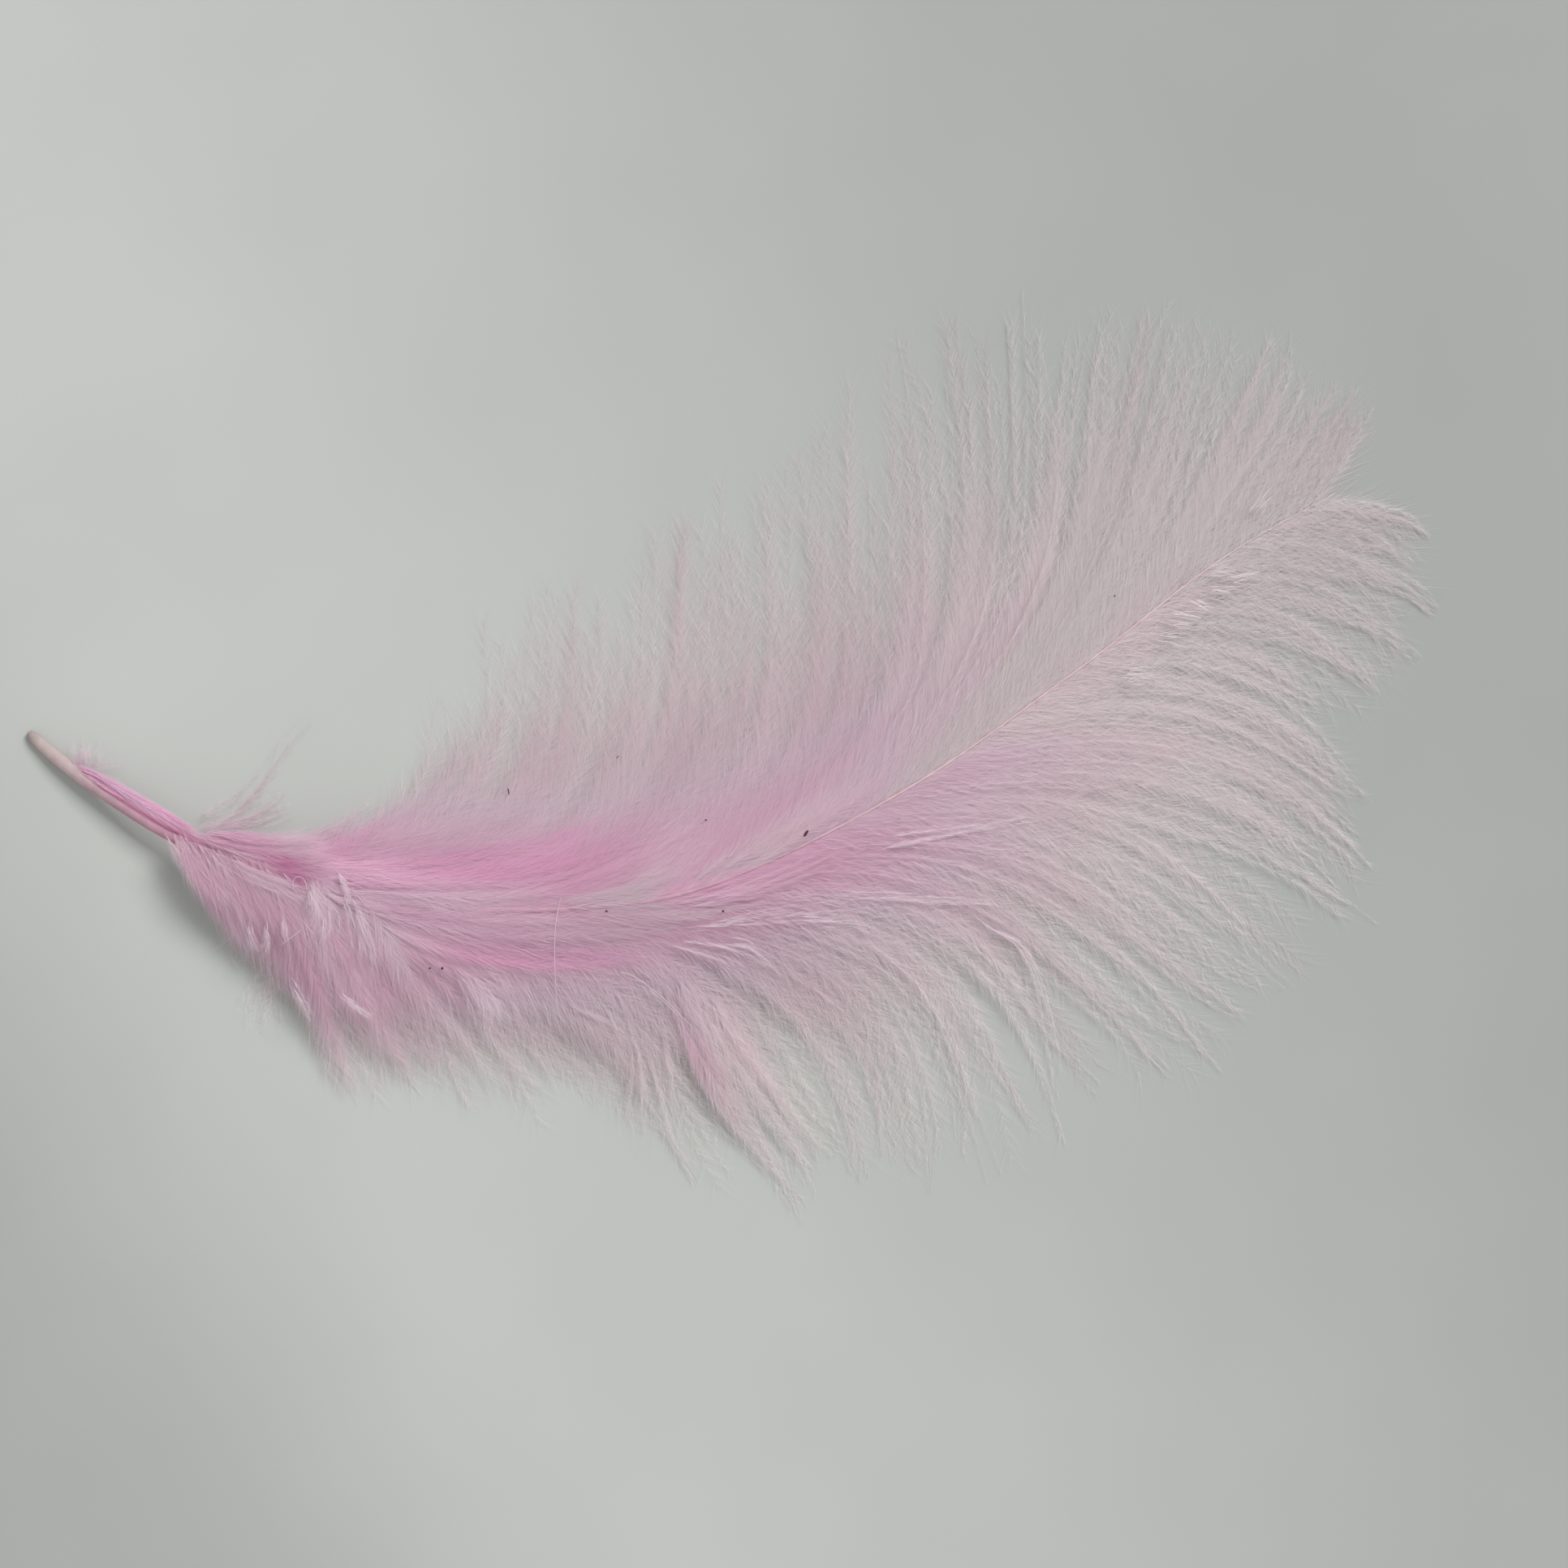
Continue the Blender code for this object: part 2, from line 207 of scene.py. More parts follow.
# The fine hairs at stations: their length near the shaft, midway and at the tip, and their lean there.
HAIR_REACH = (
    (18, 3, 3.2, 1.2),
    (60, 3.2, 3.4, 1.4),
    (80, 3.2, 3.4, 2),
    (110, 2.6, 2.6, 1.4),
    (145, 1.5, 1.4, 0.8),
)
HAZE_REACH = (
    (18, 3.4, 4.2, 3.4),
    (62, 3.6, 4.6, 3.4),
    (78, 3.2, 3.4, 2.2),
    (110, 2.5, 2.6, 1.6),
    (145, 1.5, 1.4, 0.9),
)
HAIR_LEAN = (
    (18, 16, 30, 30),
    (60, 14, 30, 26),
    (80, 16, 26, 20),
    (145, 22, 24, 18),
)
HAZE_LEAN = (
    (18, 14, 26, 28),
    (62, 12, 22, 24),
    (78, 16, 24, 20),
    (145, 22, 24, 18),
)
BARB_WIDTH = ((50, 0.024), (70, 0.030), (145, 0.032))
HAZE_BARB_WIDTH = ((18, 0.016), (60, 0.018), (78, 0.026), (145, 0.030))
BARB_TIP_SHARE = 0.4
HAIR_WIDTH = 0.024
HAZE_HAIR_WIDTH = ((62, 0.014), (80, 0.021))
VANE_HAIR_WIDTH = ((18, 0.025),)
HAIRS_PER_MM = ((18, 13.5), (60, 12), (80, 10.5), (145, 9.5))
HAZE_PER_MM = ((62, 19), (80, 13.5), (145, 11.5))
HAIR_SCATTER = ((18, 0.5), (60, 0.40), (85, 0.22))
# How strongly the hairs crowd towards the barbs' roots.
HAIR_CROWDING = ((18, 1.7), (60, 1.5), (85, 1.15), (145, 1.1))
HAZE_CROWDING = ((18, 1.3), (60, 1.2), (85, 1.1), (145, 1.1))
UNDERCOAT_STEM = (0.020, 0.010)
UNDERCOAT_HAIR_WIDTH = 0.0165
UNDERCOAT_PER_MM = ((60, 13), (90, 11.5))
UNDERCOAT_REACH = (4.2, 3.4)
UNDERCOAT_LEAN = ((60, 32), (90, 28))
POINT_STEM = (0.036, 0.014)
POINT_PER_MM = 4.0
POINT_REACH = (1.6, 0.7)
POINT_LEAN = (16, 12)
THIN_HAIR_SCATTER = 0.25
STEM_RINGS = 12
THIN_STEM_RINGS = 10

UPPER = (UPPER_LOCKS, UPPER_LEAVING, UPPER_BENDS)
LOWER = (LOWER_LOCKS, LOWER_LEAVING, LOWER_BENDS)
UPPER_LOOK = (HAZE_BARB_WIDTH, HAZE_HAIR_WIDTH, HAZE_PER_MM, HAZE_REACH, HAZE_LEAN, HAZE_CROWDING)
LOWER_LOOK = (BARB_WIDTH, VANE_HAIR_WIDTH, HAIRS_PER_MM, HAIR_REACH, HAIR_LEAN, HAIR_CROWDING)
UPPER_SIDE = 1
LOWER_SIDE = -1
UPPER_BARBS = 330
LOWER_BARBS = 370
UPPER_UNDERCOAT_BARBS = 180
LOWER_UNDERCOAT_BARBS = 190
UPPER_POINT_BARBS = 30
LOWER_POINT_BARBS = 125
BASE_EDGE_BARBS = 75
BASE_BARBS = 140
UPPER_PIECES = 2
LOWER_PIECES = 3
# How far barbs' roots, tips and ends stray from their even places, and how low they may lie.
ROOT_SCATTER = 0.3
STRAY_SHARE = 0.16
TIP_TURN = 5.0
TIP_HEIGHTS = (0.08, 0.5)
FULL_REACH = 1.02
LOWEST = 0.06


def table(rows, where):
    """Columns of a table at distances along it, straight between its rows."""
    rows = np.array(rows, float)
    return np.stack([np.interp(where, rows[:, 0], rows[:, i]) for i in range(1, rows.shape[1])], axis=-1)


def curve_through(points):
    """A smooth curve through the points."""
    points = np.array(points, float)
    ends = np.vstack([2 * points[0] - points[1], points, 2 * points[-1] - points[-2]])
    t = (np.arange(STEPS_PER_STRETCH) / STEPS_PER_STRETCH)[:, None]
    line = []
    for a, b, c, d in zip(ends, ends[1:], ends[2:], ends[3:]):
        line.append(0.5 * (
            2 * b + (c - a) * t + (2 * a - 5 * b + 4 * c - d) * t**2 + (3 * b - a - 3 * c + d) * t**3
        ))
    return np.vstack([*line, points[-1:]])


LINE = curve_through(SHAFT_LINE)
REACHED = np.concatenate([[0.0], np.cumsum(np.linalg.norm(np.diff(LINE, axis=0), axis=1))])
LENGTH = REACHED[-1]


def shaft_point(where):
    return np.stack([np.interp(where, REACHED, LINE[:, i]) for i in range(3)], axis=-1)


def shaft_heading(where):
    step = shaft_point(np.asarray(where) + 0.5) - shaft_point(np.asarray(where) - 0.5)
    return np.degrees(np.arctan2(step[..., 1], step[..., 0]))


def away_from_shaft(points):
    """How far points lie from the shaft's line, seen from above."""
    flat = points.reshape(-1, 3)
    away = np.full(len(flat), np.inf)
    for spot in LINE[::3]:
        away = np.minimum(away, np.hypot(flat[:, 0] - spot[0], flat[:, 1] - spot[1]))
    return away.reshape(points.shape[:-1])


def turned(degrees):
    angle = np.radians(degrees)
    return np.stack([np.cos(angle), np.sin(angle), np.zeros_like(angle)], axis=-1)


def unit(v):
    return v / np.maximum(np.linalg.norm(v, axis=-1, keepdims=True), 1e-9)


def smooth(x):
    x = np.clip(x, 0, 1)
    return x * x * (3 - 2 * x)


def bezier(p, t):
    """Points of many curves at once: p is (curves, 4, 3) and t is (curves, samples)."""
    t = t[..., None]
    a, b, c, d = (p[:, i, None, :] for i in range(4))
    return a * (1 - t) ** 3 + b * 3 * t * (1 - t) ** 2 + c * 3 * t**2 * (1 - t) + d * t**3


def through_four(p, t):
    """The same, for curves that pass through their four points at equal steps."""
    knots = np.linspace(0, 1, 4)
    total = 0
    for i, knot in enumerate(knots):
        weight = np.prod([(t - other) / (knot - other) for other in np.delete(knots, i)], axis=0)
        total = total + weight[..., None] * p[:, i, None, :]
    return total


class Curves:
    """Many barbs: their middle lines, and where each takes its colour from on the map."""

    SAMPLES = 25

    def __init__(self, points, u, v, station):
        self.points = points
        self.u = u
        self.v = v
        self.station = station
        self.length = np.linalg.norm(np.diff(points, axis=1), axis=2).sum(1)

    def step_at(self, share):
        last = self.points.shape[1] - 1
        x = np.clip(share, 0, 1) * last
        i = np.minimum(x.astype(int), last - 1)
        return i, x - i

    def at(self, curve, share):
        i, f = self.step_at(share)
        near, far = self.points[curve, i], self.points[curve, i + 1]
        return near + (far - near) * f[:, None], unit(far - near)

    def map_at(self, curve, share):
        i, f = self.step_at(share)
        return self.u[curve, i] + (self.u[curve, i + 1] - self.u[curve, i]) * f

    def part(self, chosen):
        return Curves(self.points[chosen], self.u[chosen], self.v[chosen], self.station[chosen])


def evened(rows):
    """The same locks, each drawn towards its neighbours."""
    near = np.vstack([rows[:1], rows[:1], rows, rows[-1:], rows[-1:]])
    even = sum(weight * near[k:k + len(rows)] for k, weight in enumerate(NEIGHBOURS)) / sum(NEIGHBOURS)
    return np.column_stack([rows[:, 0], even[:, 1:]])


def fan(rows, leaving, bends, style, roots, side, count):
    """The barbs of one vane: each leaves the shaft at its own place and is drawn into its lock."""
    rows = np.array(sorted(rows), float)
    spread = evened(rows)
    stations, shares = np.array(roots).T
    where = np.interp(np.linspace(0, 1, count), shares, stations)
    where = where + RANDOM.uniform(-ROOT_SCATTER, ROOT_SCATTER, count)
    clump, jitter, uneven, arch, keep, cling = table(style, where).T
    nearest = np.abs(where[:, None] - rows[None, :, 0]).argmin(1)
    gather = np.minimum(clump * RANDOM.uniform(0.7, 1.0, count), 1.0)
    edges = where.min() + np.cumsum(RANDOM.uniform(*LITTLE_LOCK, 200))
    little = np.searchsorted(edges, where)
    middle = np.bincount(little, where) / np.maximum(np.bincount(little), 1)
    shared = RANDOM.normal(0, 1, (2, len(middle)))[:, little]
    own = RANDOM.normal(0, 1, (2, count))
    stray, turn = shared * cling + own * (1 - 0.85 * cling)
    root = shaft_point(where)
    start = shaft_heading(where) + side * np.interp(where, *np.array(leaving).T)
    rise = arch * RANDOM.uniform(0.3, 1.35, count)
    stray = STRAY_SHARE * stray * jitter
    turn = TIP_TURN * turn
    root_reach, tip_reach = table(bends, where).T
    tip_height = RANDOM.uniform(*TIP_HEIGHTS, count)
    reach = np.minimum(1.0, FULL_REACH - np.abs(RANDOM.normal(0, 1, count)) * uneven)
    t = np.linspace(0, 1, Curves.SAMPLES)[None, :] * np.maximum(reach, 0.3)[:, None]

    def drawn(pull, hold):
        held = where + (middle[little] - where) * hold
        aim = table(spread, held) * (1 - pull[:, None]) + rows[nearest, 1:] * pull[:, None]
        tip = np.column_stack([aim[:, :2], tip_height])
        tip = tip + turned(aim[:, 2] + 90) * (stray * aim[:, 3])[:, None]
        span = np.linalg.norm(tip - root, axis=1)
        first_bend = root + turned(start) * (span * root_reach)[:, None]
        first_bend[:, 2] = root[:, 2] * keep + rise
        last_bend = tip - turned(aim[:, 2] + turn) * (span * tip_reach)[:, None]
        last_bend[:, 2] = tip[:, 2] + 0.3 * rise
        return bezier(np.stack([root, first_bend, last_bend, tip], axis=1), t), turned(aim[:, 2] + 90)

    loose, across = drawn(0.1 * gather, 0.3 * cling)
    tied, _ = drawn(gather, cling)
    points = loose + (tied - loose) * smooth((t - 0.4) / 0.55)[..., None]
    phase = RANDOM.uniform(0, 2 * math.pi, (count, 1))
    waves = RANDOM.uniform(1.2, 3.0, (count, 1))
    sway = np.interp(where, (60.0, 90.0), (0.35, 0.18))[:, None] * RANDOM.uniform(0.0, 1.0, (count, 1))
    bend = np.sin(phase + waves * t * 2 * math.pi) * sway * smooth(t * 2)
    points = points + across[:, None, :] * bend[..., None]
    points[..., 2] = np.maximum(points[..., 2], LOWEST)
    v = where / STATION_SCALE + RANDOM.uniform(-0.006, 0.006, count)
    return Curves(points, away_from_shaft(points) / AWAY_SCALE, v, where)


class Relief:
    """How high the down stands, so that what lies on it can follow it."""

    CELL = 2.0

    def __init__(self, groups):
        shaft = shaft_point(np.arange(0.0, LENGTH, 0.5))
        shaft[:, 2] += np.interp(np.arange(0.0, LENGTH, 0.5), *np.array(SHAFT_RADII).T)
        points = np.vstack([shaft, *(curves.points.reshape(-1, 3) for curves in groups)])
        self.low = points.min(0)[:2] - 2 * self.CELL
        cells = ((points[:, :2] - self.low) / self.CELL).astype(int)
        height = np.zeros(cells.max(0) + 3)
        np.maximum.at(height, tuple(cells.T), points[:, 2])
        around = [np.roll(height, (i, j), (0, 1)) for i in (-1, 0, 1) for j in (-1, 0, 1)]
        self.height = np.mean(around, axis=0)

    def at(self, x, y):
        i = np.clip((x - self.low[0]) / self.CELL - 0.5, 0, self.height.shape[0] - 1.001)
        j = np.clip((y - self.low[1]) / self.CELL - 0.5, 0, self.height.shape[1] - 1.001)
        a, b = i.astype(int), j.astype(int)
        f, g = i - a, j - b
        h = self.height
        near = h[a, b] * (1 - g) + h[a, b + 1] * g
        far = h[a + 1, b] * (1 - g) + h[a + 1, b + 1] * g
        return near * (1 - f) + far * f


def strands(guides, count, heights, stray=0.25, late=0.0, uneven=0.12, relief=None, sink=0.0):
    """Barbs that fill the sheet between guides, each four points that it passes through.

    heights are above the relief where one is given. late is how much of the way some barbs start along it.
    sink is how far the sheet's two edges lie below its middle.
    """
    guides = np.array(guides, float)
    across = RANDOM.uniform(0, 1, count)
    if len(guides) == 1:
        p = np.repeat(guides, count, axis=0)
    else:
        place = across * (len(guides) - 1)
        i = np.minimum(place.astype(int), len(guides) - 2)
        f = (place - i)[:, None, None]
        p = guides[i] * (1 - f) + guides[i + 1] * f
    start = RANDOM.uniform(0, late, count)
    end = np.minimum(1.0, FULL_REACH - np.abs(RANDOM.normal(0, 1, count)) * uneven)
    t = start[:, None] + np.linspace(0, 1, Curves.SAMPLES)[None, :] * (end - start)[:, None]
    flat = through_four(p, t)
    step = np.gradient(flat, axis=1)
    side = np.stack([-step[..., 1], step[..., 0]], axis=-1)
    side = unit(side)
    off = RANDOM.normal(0, stray, (count, 1)) * (0.35 + 0.65 * t)
    sway = RANDOM.normal(0, 0.35 * stray, (count, 1)) * np.sin(RANDOM.uniform(0, 6, (count, 1)) + 4 * t)
    flat = flat + side * (off + sway)[..., None]
    z = np.interp(t, np.linspace(0, 1, 4), heights)
    if relief is not None:
        z = z + relief.at(flat[..., 0], flat[..., 1])
    z = z - sink * smooth((np.abs(2 * across - 1) - 0.4) / 0.6)[:, None]
    z = np.maximum(z + RANDOM.normal(0, 0.12, (count, 1)), LOWEST)
    points = np.concatenate([flat, z[..., None]], axis=-1)
    return Curves(points, t, across, np.full(count, 40.0))


class Soup:
    """Triangles gathered with their map coordinates, to become one piece."""

    def __init__(self):
        self.corners = []
        self.maps = []

    def add(self, corners, maps):
        self.corners.append(corners.reshape(-1, 3, 3))
        self.maps.append(maps.reshape(-1, 3, 2))

    def piece(self, name, material):
        corners = np.concatenate(self.corners).reshape(-1, 3) * MM
        maps = np.clip(np.concatenate(self.maps).reshape(-1, 2), 0.001, 0.999)
        n = len(corners) // 3
        me = bpy.data.meshes.new(name)
        me.vertices.add(3 * n)
        me.loops.add(3 * n)
        me.polygons.add(n)
        me.vertices.foreach_set("co", corners.astype(np.float32).ravel())
        me.loops.foreach_set("vertex_index", np.arange(3 * n, dtype=np.int32))
        me.polygons.foreach_set("loop_start", np.arange(0, 3 * n, 3, dtype=np.int32))
        me.polygons.foreach_set("loop_total", np.full(n, 3, np.int32))
        layer = me.uv_layers.new(name="OFBake")
        layer.data.foreach_set("uv", maps.astype(np.float32).ravel())
        me.update()
        me.validate()
        add_piece(name, me, material)


def add_piece(name, me, material):
    me.materials.append(material)
    ob = bpy.data.objects.new(name, me)
    bpy.context.scene.collection.objects.link(ob)
    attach(ob, "root")
    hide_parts("feather")
    return ob


MAP_SLIVER = 0.0015


def add_stems(soup, curves, root_width, tip_width, rings=STEM_RINGS):
    """The barbs' own shafts: three-sided and tapering. The widths are one for all or one for each."""
    n = len(curves.points)
    share = np.linspace(0, 1, rings)
    curve = np.repeat(np.arange(n), rings)
    shares = np.tile(share, n)
    points, forward = curves.at(curve, shares)
    side = unit(np.cross(np.array([0.0, 0, 1.0]), forward))
    up = np.cross(forward, side)
    root_width, tip_width = (np.broadcast_to(width, n)[curve] for width in (root_width, tip_width))
    radius = 0.5 * (root_width + (tip_width - root_width) * shares**0.7)
    corners = []
    for k in range(3):
        turn = 2 * math.pi * k / 3 + math.pi / 2
        corners.append(points + (side * math.cos(turn) + up * math.sin(turn)) * radius[:, None])
    corners = np.stack(corners, axis=1).reshape(n, rings, 3, 3)
    u = curves.map_at(curve, shares).reshape(n, rings)
    v = np.broadcast_to(curves.v[:, None], (n, rings - 1))
    near, far = np.stack([u[:, :-1], v], -1), np.stack([u[:, 1:] + 1e-4, v], -1)
    beside = np.array([0.0, MAP_SLIVER])
    for k in range(3):
        j = (k + 1) % 3
        a, b = corners[:, :-1, k], corners[:, :-1, j]
        c, d = corners[:, 1:, j], corners[:, 1:, k]
        soup.add(np.stack([a, b, c], axis=2), np.stack([near, near + beside, far + beside], axis=2))
        soup.add(np.stack([a, c, d], axis=2), np.stack([near, far + beside, far], axis=2))


def add_hairs(soup, curves, per_mm, reach, lean, width=HAIR_WIDTH, scatter=0.5, bias=1.25):
    """The fine side hairs of the barbs, each one needle. reach and lean take the share and the station."""
    counts = np.maximum((curves.length * per_mm).astype(int), 4)
    curve = np.repeat(np.arange(len(counts)), counts)
    n = len(curve)
    share = 0.01 + 0.985 * RANDOM.uniform(0, 1, n) ** np.broadcast_to(bias, counts.shape)[curve]
    base, forward = curves.at(curve, share)
    side = unit(np.cross(np.array([0.0, 0, 1.0]), forward))
    up = np.cross(forward, side)
    hand = np.where(RANDOM.uniform(0, 1, n) < 0.5, -1.0, 1.0)
    roll = RANDOM.normal(0, 1, n) * np.broadcast_to(scatter, counts.shape)[curve]
    out = side * (hand * np.cos(roll))[:, None] + up * np.sin(roll)[:, None]
    station = curves.station[curve]
    angle = np.radians(lean(share, station) * RANDOM.uniform(0.5, 1.5, n))
    way = forward * np.cos(angle)[:, None] + out * np.sin(angle)[:, None]
    length = reach(share, station) * RANDOM.uniform(0.45, 1.35, n)
    flat = unit(np.cross(way, unit(up + side * RANDOM.normal(0, 0.45, n)[:, None])))
    half = 0.5 * np.broadcast_to(width, counts.shape)[curve] * RANDOM.uniform(0.7, 1.3, n) * (1 - 0.5 * share)
    tip = base + way * length[:, None]
    tip[:, 2] = np.maximum(tip[:, 2], 0.03 + 0.1 * RANDOM.uniform(0, 1, n))
    a = base + flat * half[:, None]
    b = base - flat * half[:, None]
    u = curves.map_at(curve, share)
    u_tip = curves.map_at(curve, share + length / curves.length[curve]) + 1e-3
    v = curves.v[curve]
    maps = np.stack([
        np.stack([u, v], -1),
        np.stack([u, v + MAP_SLIVER], -1),
        np.stack([u_tip, v + 0.5 * MAP_SLIVER], -1),
    ], axis=1)
    soup.add(np.stack([a, b, tip], axis=1), maps)


def between(first, last):
    """A value that goes evenly from a barb's root to its tip."""
    return lambda share, station: first + (last - first) * share


# Materials: each piece of down takes its colour from its own map.

def new_material(name):
    made = bpy.data.materials.new(name)
    made.use_nodes = True
    tree = made.node_tree
    tree.nodes.clear()
    return made, tree


def node(tree, kind, **settings):
    made = tree.nodes.new(kind)
    for key, value in settings.items():
        setattr(made, key, value)
    return made


def ramp(tree, source, stops):
    made = node(tree, "ShaderNodeValToRGB")
    elements = made.color_ramp.elements
    while len(elements) > 1:
        elements.remove(elements[-1])
    for i, (at, colour) in enumerate(stops):
        element = elements[0] if i == 0 else elements.new(at)
        element.position = at
        element.color = (*colour, 1.0)
    tree.links.new(source, made.inputs[0])
    return made.outputs[0]


def graded(tree, value, start, end, low=0.0, high=1.0, kind="SMOOTHSTEP"):
    made = node(tree, "ShaderNodeMapRange", interpolation_type=kind)
    made.inputs["From Min"].default_value = start
    made.inputs["From Max"].default_value = end
    made.inputs["To Min"].default_value = low
    made.inputs["To Max"].default_value = high
    tree.links.new(value, made.inputs["Value"])
    return made.outputs[0]


def mixed(tree, amount, first, second, blend="MIX"):
    """A colour mix; each side and the amount is a socket or a plain value."""
    made = node(tree, "ShaderNodeMix", data_type="RGBA", blend_type=blend)
    for socket, value in ((made.inputs["Factor"], amount), (made.inputs[6], first), (made.inputs[7], second)):
        if isinstance(value, bpy.types.NodeSocket):
            tree.links.new(value, socket)
        elif isinstance(value, tuple):
            socket.default_value = (*value, 1.0)
        else:
            socket.default_value = value
    return made.outputs[2]


def banded(tree, u, v, bands):
    """Colour by one ramp along u for each band of v: (start, end, stops), softly joined from start to end."""
    colour = None
    for start, end, stops in bands:
        this = ramp(tree, u, stops)
        colour = this if colour is None else mixed(tree, graded(tree, v, start, end), colour, this)
    return colour


def map_axes(tree):
    """The piece's own map, whole and as its two coordinates."""
    uv = node(tree, "ShaderNodeUVMap", uv_map="OFBake")
    split = node(tree, "ShaderNodeSeparateXYZ")
    tree.links.new(uv.outputs[0], split.inputs[0])
    return uv.outputs[0], split.outputs[0], split.outputs[1]


def object_place(tree):
    return node(tree, "ShaderNodeTexCoord").outputs["Object"]


def mottled(tree, scale, stops):
    """A ramp over noise that is fixed to the object."""
    noise = node(tree, "ShaderNodeTexNoise")
    noise.inputs["Scale"].default_value = scale
    tree.links.new(object_place(tree), noise.inputs["Vector"])
    return ramp(tree, noise.outputs["Fac"], stops)


def finish_surface(tree, colour, roughness, through=0.0, shine=0.2):
    surface = node(tree, "ShaderNodeBsdfPrincipled")
    surface.inputs["Roughness"].default_value = roughness
    surface.inputs["Specular IOR Level"].default_value = shine
    tree.links.new(colour, surface.inputs["Base Color"])
    out = node(tree, "ShaderNodeOutputMaterial")
    if through == 0.0:
        tree.links.new(surface.outputs[0], out.inputs["Surface"])
        return
    behind = node(tree, "ShaderNodeBsdfTranslucent")
    tree.links.new(colour, behind.inputs["Color"])
    both = node(tree, "ShaderNodeMixShader")
    both.inputs[0].default_value = through
    tree.links.new(surface.outputs[0], both.inputs[1])
    tree.links.new(behind.outputs[0], both.inputs[2])
    tree.links.new(both.outputs[0], out.inputs["Surface"])


STREAK_SHADE = (0.891, 0.843, 0.872)
DYE_TONE = (0.958, 0.958, 0.958)
STREAK_LIGHT = (0.881, 0.805, 0.843)
# Over the noise: where the deeper streaks end, and where the paler ones start and are full.
SHADE_STOPS = ((0.30, STREAK_SHADE), (0.48, DYE_TONE))
LIGHT_FROM, LIGHT_TO = 0.52, 0.78
DOWN_ROUGHNESS = 0.75
DOWN_THROUGH = 0.4
DOWN_SHINE = 0.0
STREAK_SHARE = 0.45


def down_material(name, bands, streaks, light=STREAK_SHARE):
    """Down: dyed by bands, with paler and deeper streaks that follow the barbs."""
    made, tree = new_material(name)
    uv, u, v = map_axes(tree)
    colour = banded(tree, u, v, bands)
    stretch = node(tree, "ShaderNodeVectorMath", operation="MULTIPLY")
    tree.links.new(uv, stretch.inputs[0])
    stretch.inputs[1].default_value = (*streaks, 0.0)
    noise = node(tree, "ShaderNodeTexNoise", noise_dimensions="2D")
    noise.inputs["Scale"].default_value = 1.0
    noise.inputs["Detail"].default_value = 2.0
    tree.links.new(stretch.outputs[0], noise.inputs["Vector"])
    colour = mixed(tree, 1.0, colour, ramp(tree, noise.outputs["Fac"], SHADE_STOPS), "MULTIPLY")
    paler = graded(tree, noise.outputs["Fac"], LIGHT_FROM, LIGHT_TO, 0.0, light)
    colour = mixed(tree, paler, colour, STREAK_LIGHT)
    finish_surface(tree, colour, DOWN_ROUGHNESS, DOWN_THROUGH, DOWN_SHINE)
    return made


DEEP = (0.89, 0.57, 0.74)
MASS = (0.85, 0.64, 0.75)
SOFT = (0.83, 0.70, 0.76)
PALE = (0.85, 0.73, 0.77)
FAR = (0.87, 0.79, 0.80)
MIST = (0.82, 0.68, 0.73)
HAZE = (0.84, 0.73, 0.76)
MILD = (0.87, 0.72, 0.79)
LIGHT = (0.88, 0.76, 0.80)
BRIGHT = (0.89, 0.81, 0.82)
THIN_PALE = (0.80, 0.70, 0.735)
THIN_FAR = (0.81, 0.745, 0.75)
WHITE = (0.96, 0.91, 0.93)


def one_band(*stops):
    return ((0, 0, stops),)


def by_distance(rows):
    """Bands whose places are stations and whose ramps run over millimetres from the shaft."""
    made = []
    for start, end, stops in rows:
        scaled = tuple((at / AWAY_SCALE, colour) for at, colour in stops)
        made.append((start / STATION_SCALE, end / STATION_SCALE, scaled))
    return tuple(made)


UPPER_BANDS = by_distance((
    (0, 0, ((0, DEEP), (3, DEEP), (7, MASS), (10, SOFT), (14, MIST), (21, HAZE))),
    (50, 62, ((0, DEEP), (4, MASS), (8, SOFT), (11, MIST), (18, HAZE))),
    (64, 74, (
        (0, MASS), (3, SOFT), (7, (0.84, 0.735, 0.77)), (11, (0.86, 0.785, 0.795)), (17, THIN_FAR),
    )),
    (84, 94, ((0, THIN_PALE), (3, THIN_FAR))),
    (122, 134, ((0, (0.79, 0.72, 0.73)), (3, (0.78, 0.715, 0.72)))),
))
LOWER_BANDS = by_distance((
    (0, 0, ((0, MASS), (6, MASS), (11, SOFT), (18, PALE), (26, FAR))),
    (34, 42, ((0, DEEP), (5, MASS), (9, SOFT), (14, PALE), (20, FAR))),
    (62, 72, ((0, DEEP), (5, (0.88, 0.66, 0.775)), (9, MILD), (15, LIGHT), (22, FAR))),
    (78, 88, ((0, MASS), (4, MILD), (10, LIGHT), (15, BRIGHT))),
    (94, 104, ((0, LIGHT), (4, FAR))),
    (118, 132, ((0, (0.83, 0.75, 0.765)), (3, (0.82, 0.74, 0.755)))),
))
VANE_STREAKS = (1.3, 110.0)


def near_mid_far(rows):
    """A value that goes from the shaft by a middle value to the tip, each of them by station."""
    def value(share, station):
        near, middle, far = table(rows, station).T
        first = near + (middle - near) * smooth((share - 0.05) / 0.3)
        return first + (far - first) * smooth((share - 0.55) / 0.4)
    return value


def whiter(bands):
    """The same bands for the barbs' own shafts, which are a little paler than their hairs."""
    def pale(colour):
        return tuple(0.7 * a + 0.3 * b for a, b in zip(colour, WHITE))
    return tuple(
        (start, end, tuple((at, pale(colour)) for at, colour in stops)) for start, end, stops in bands
    )


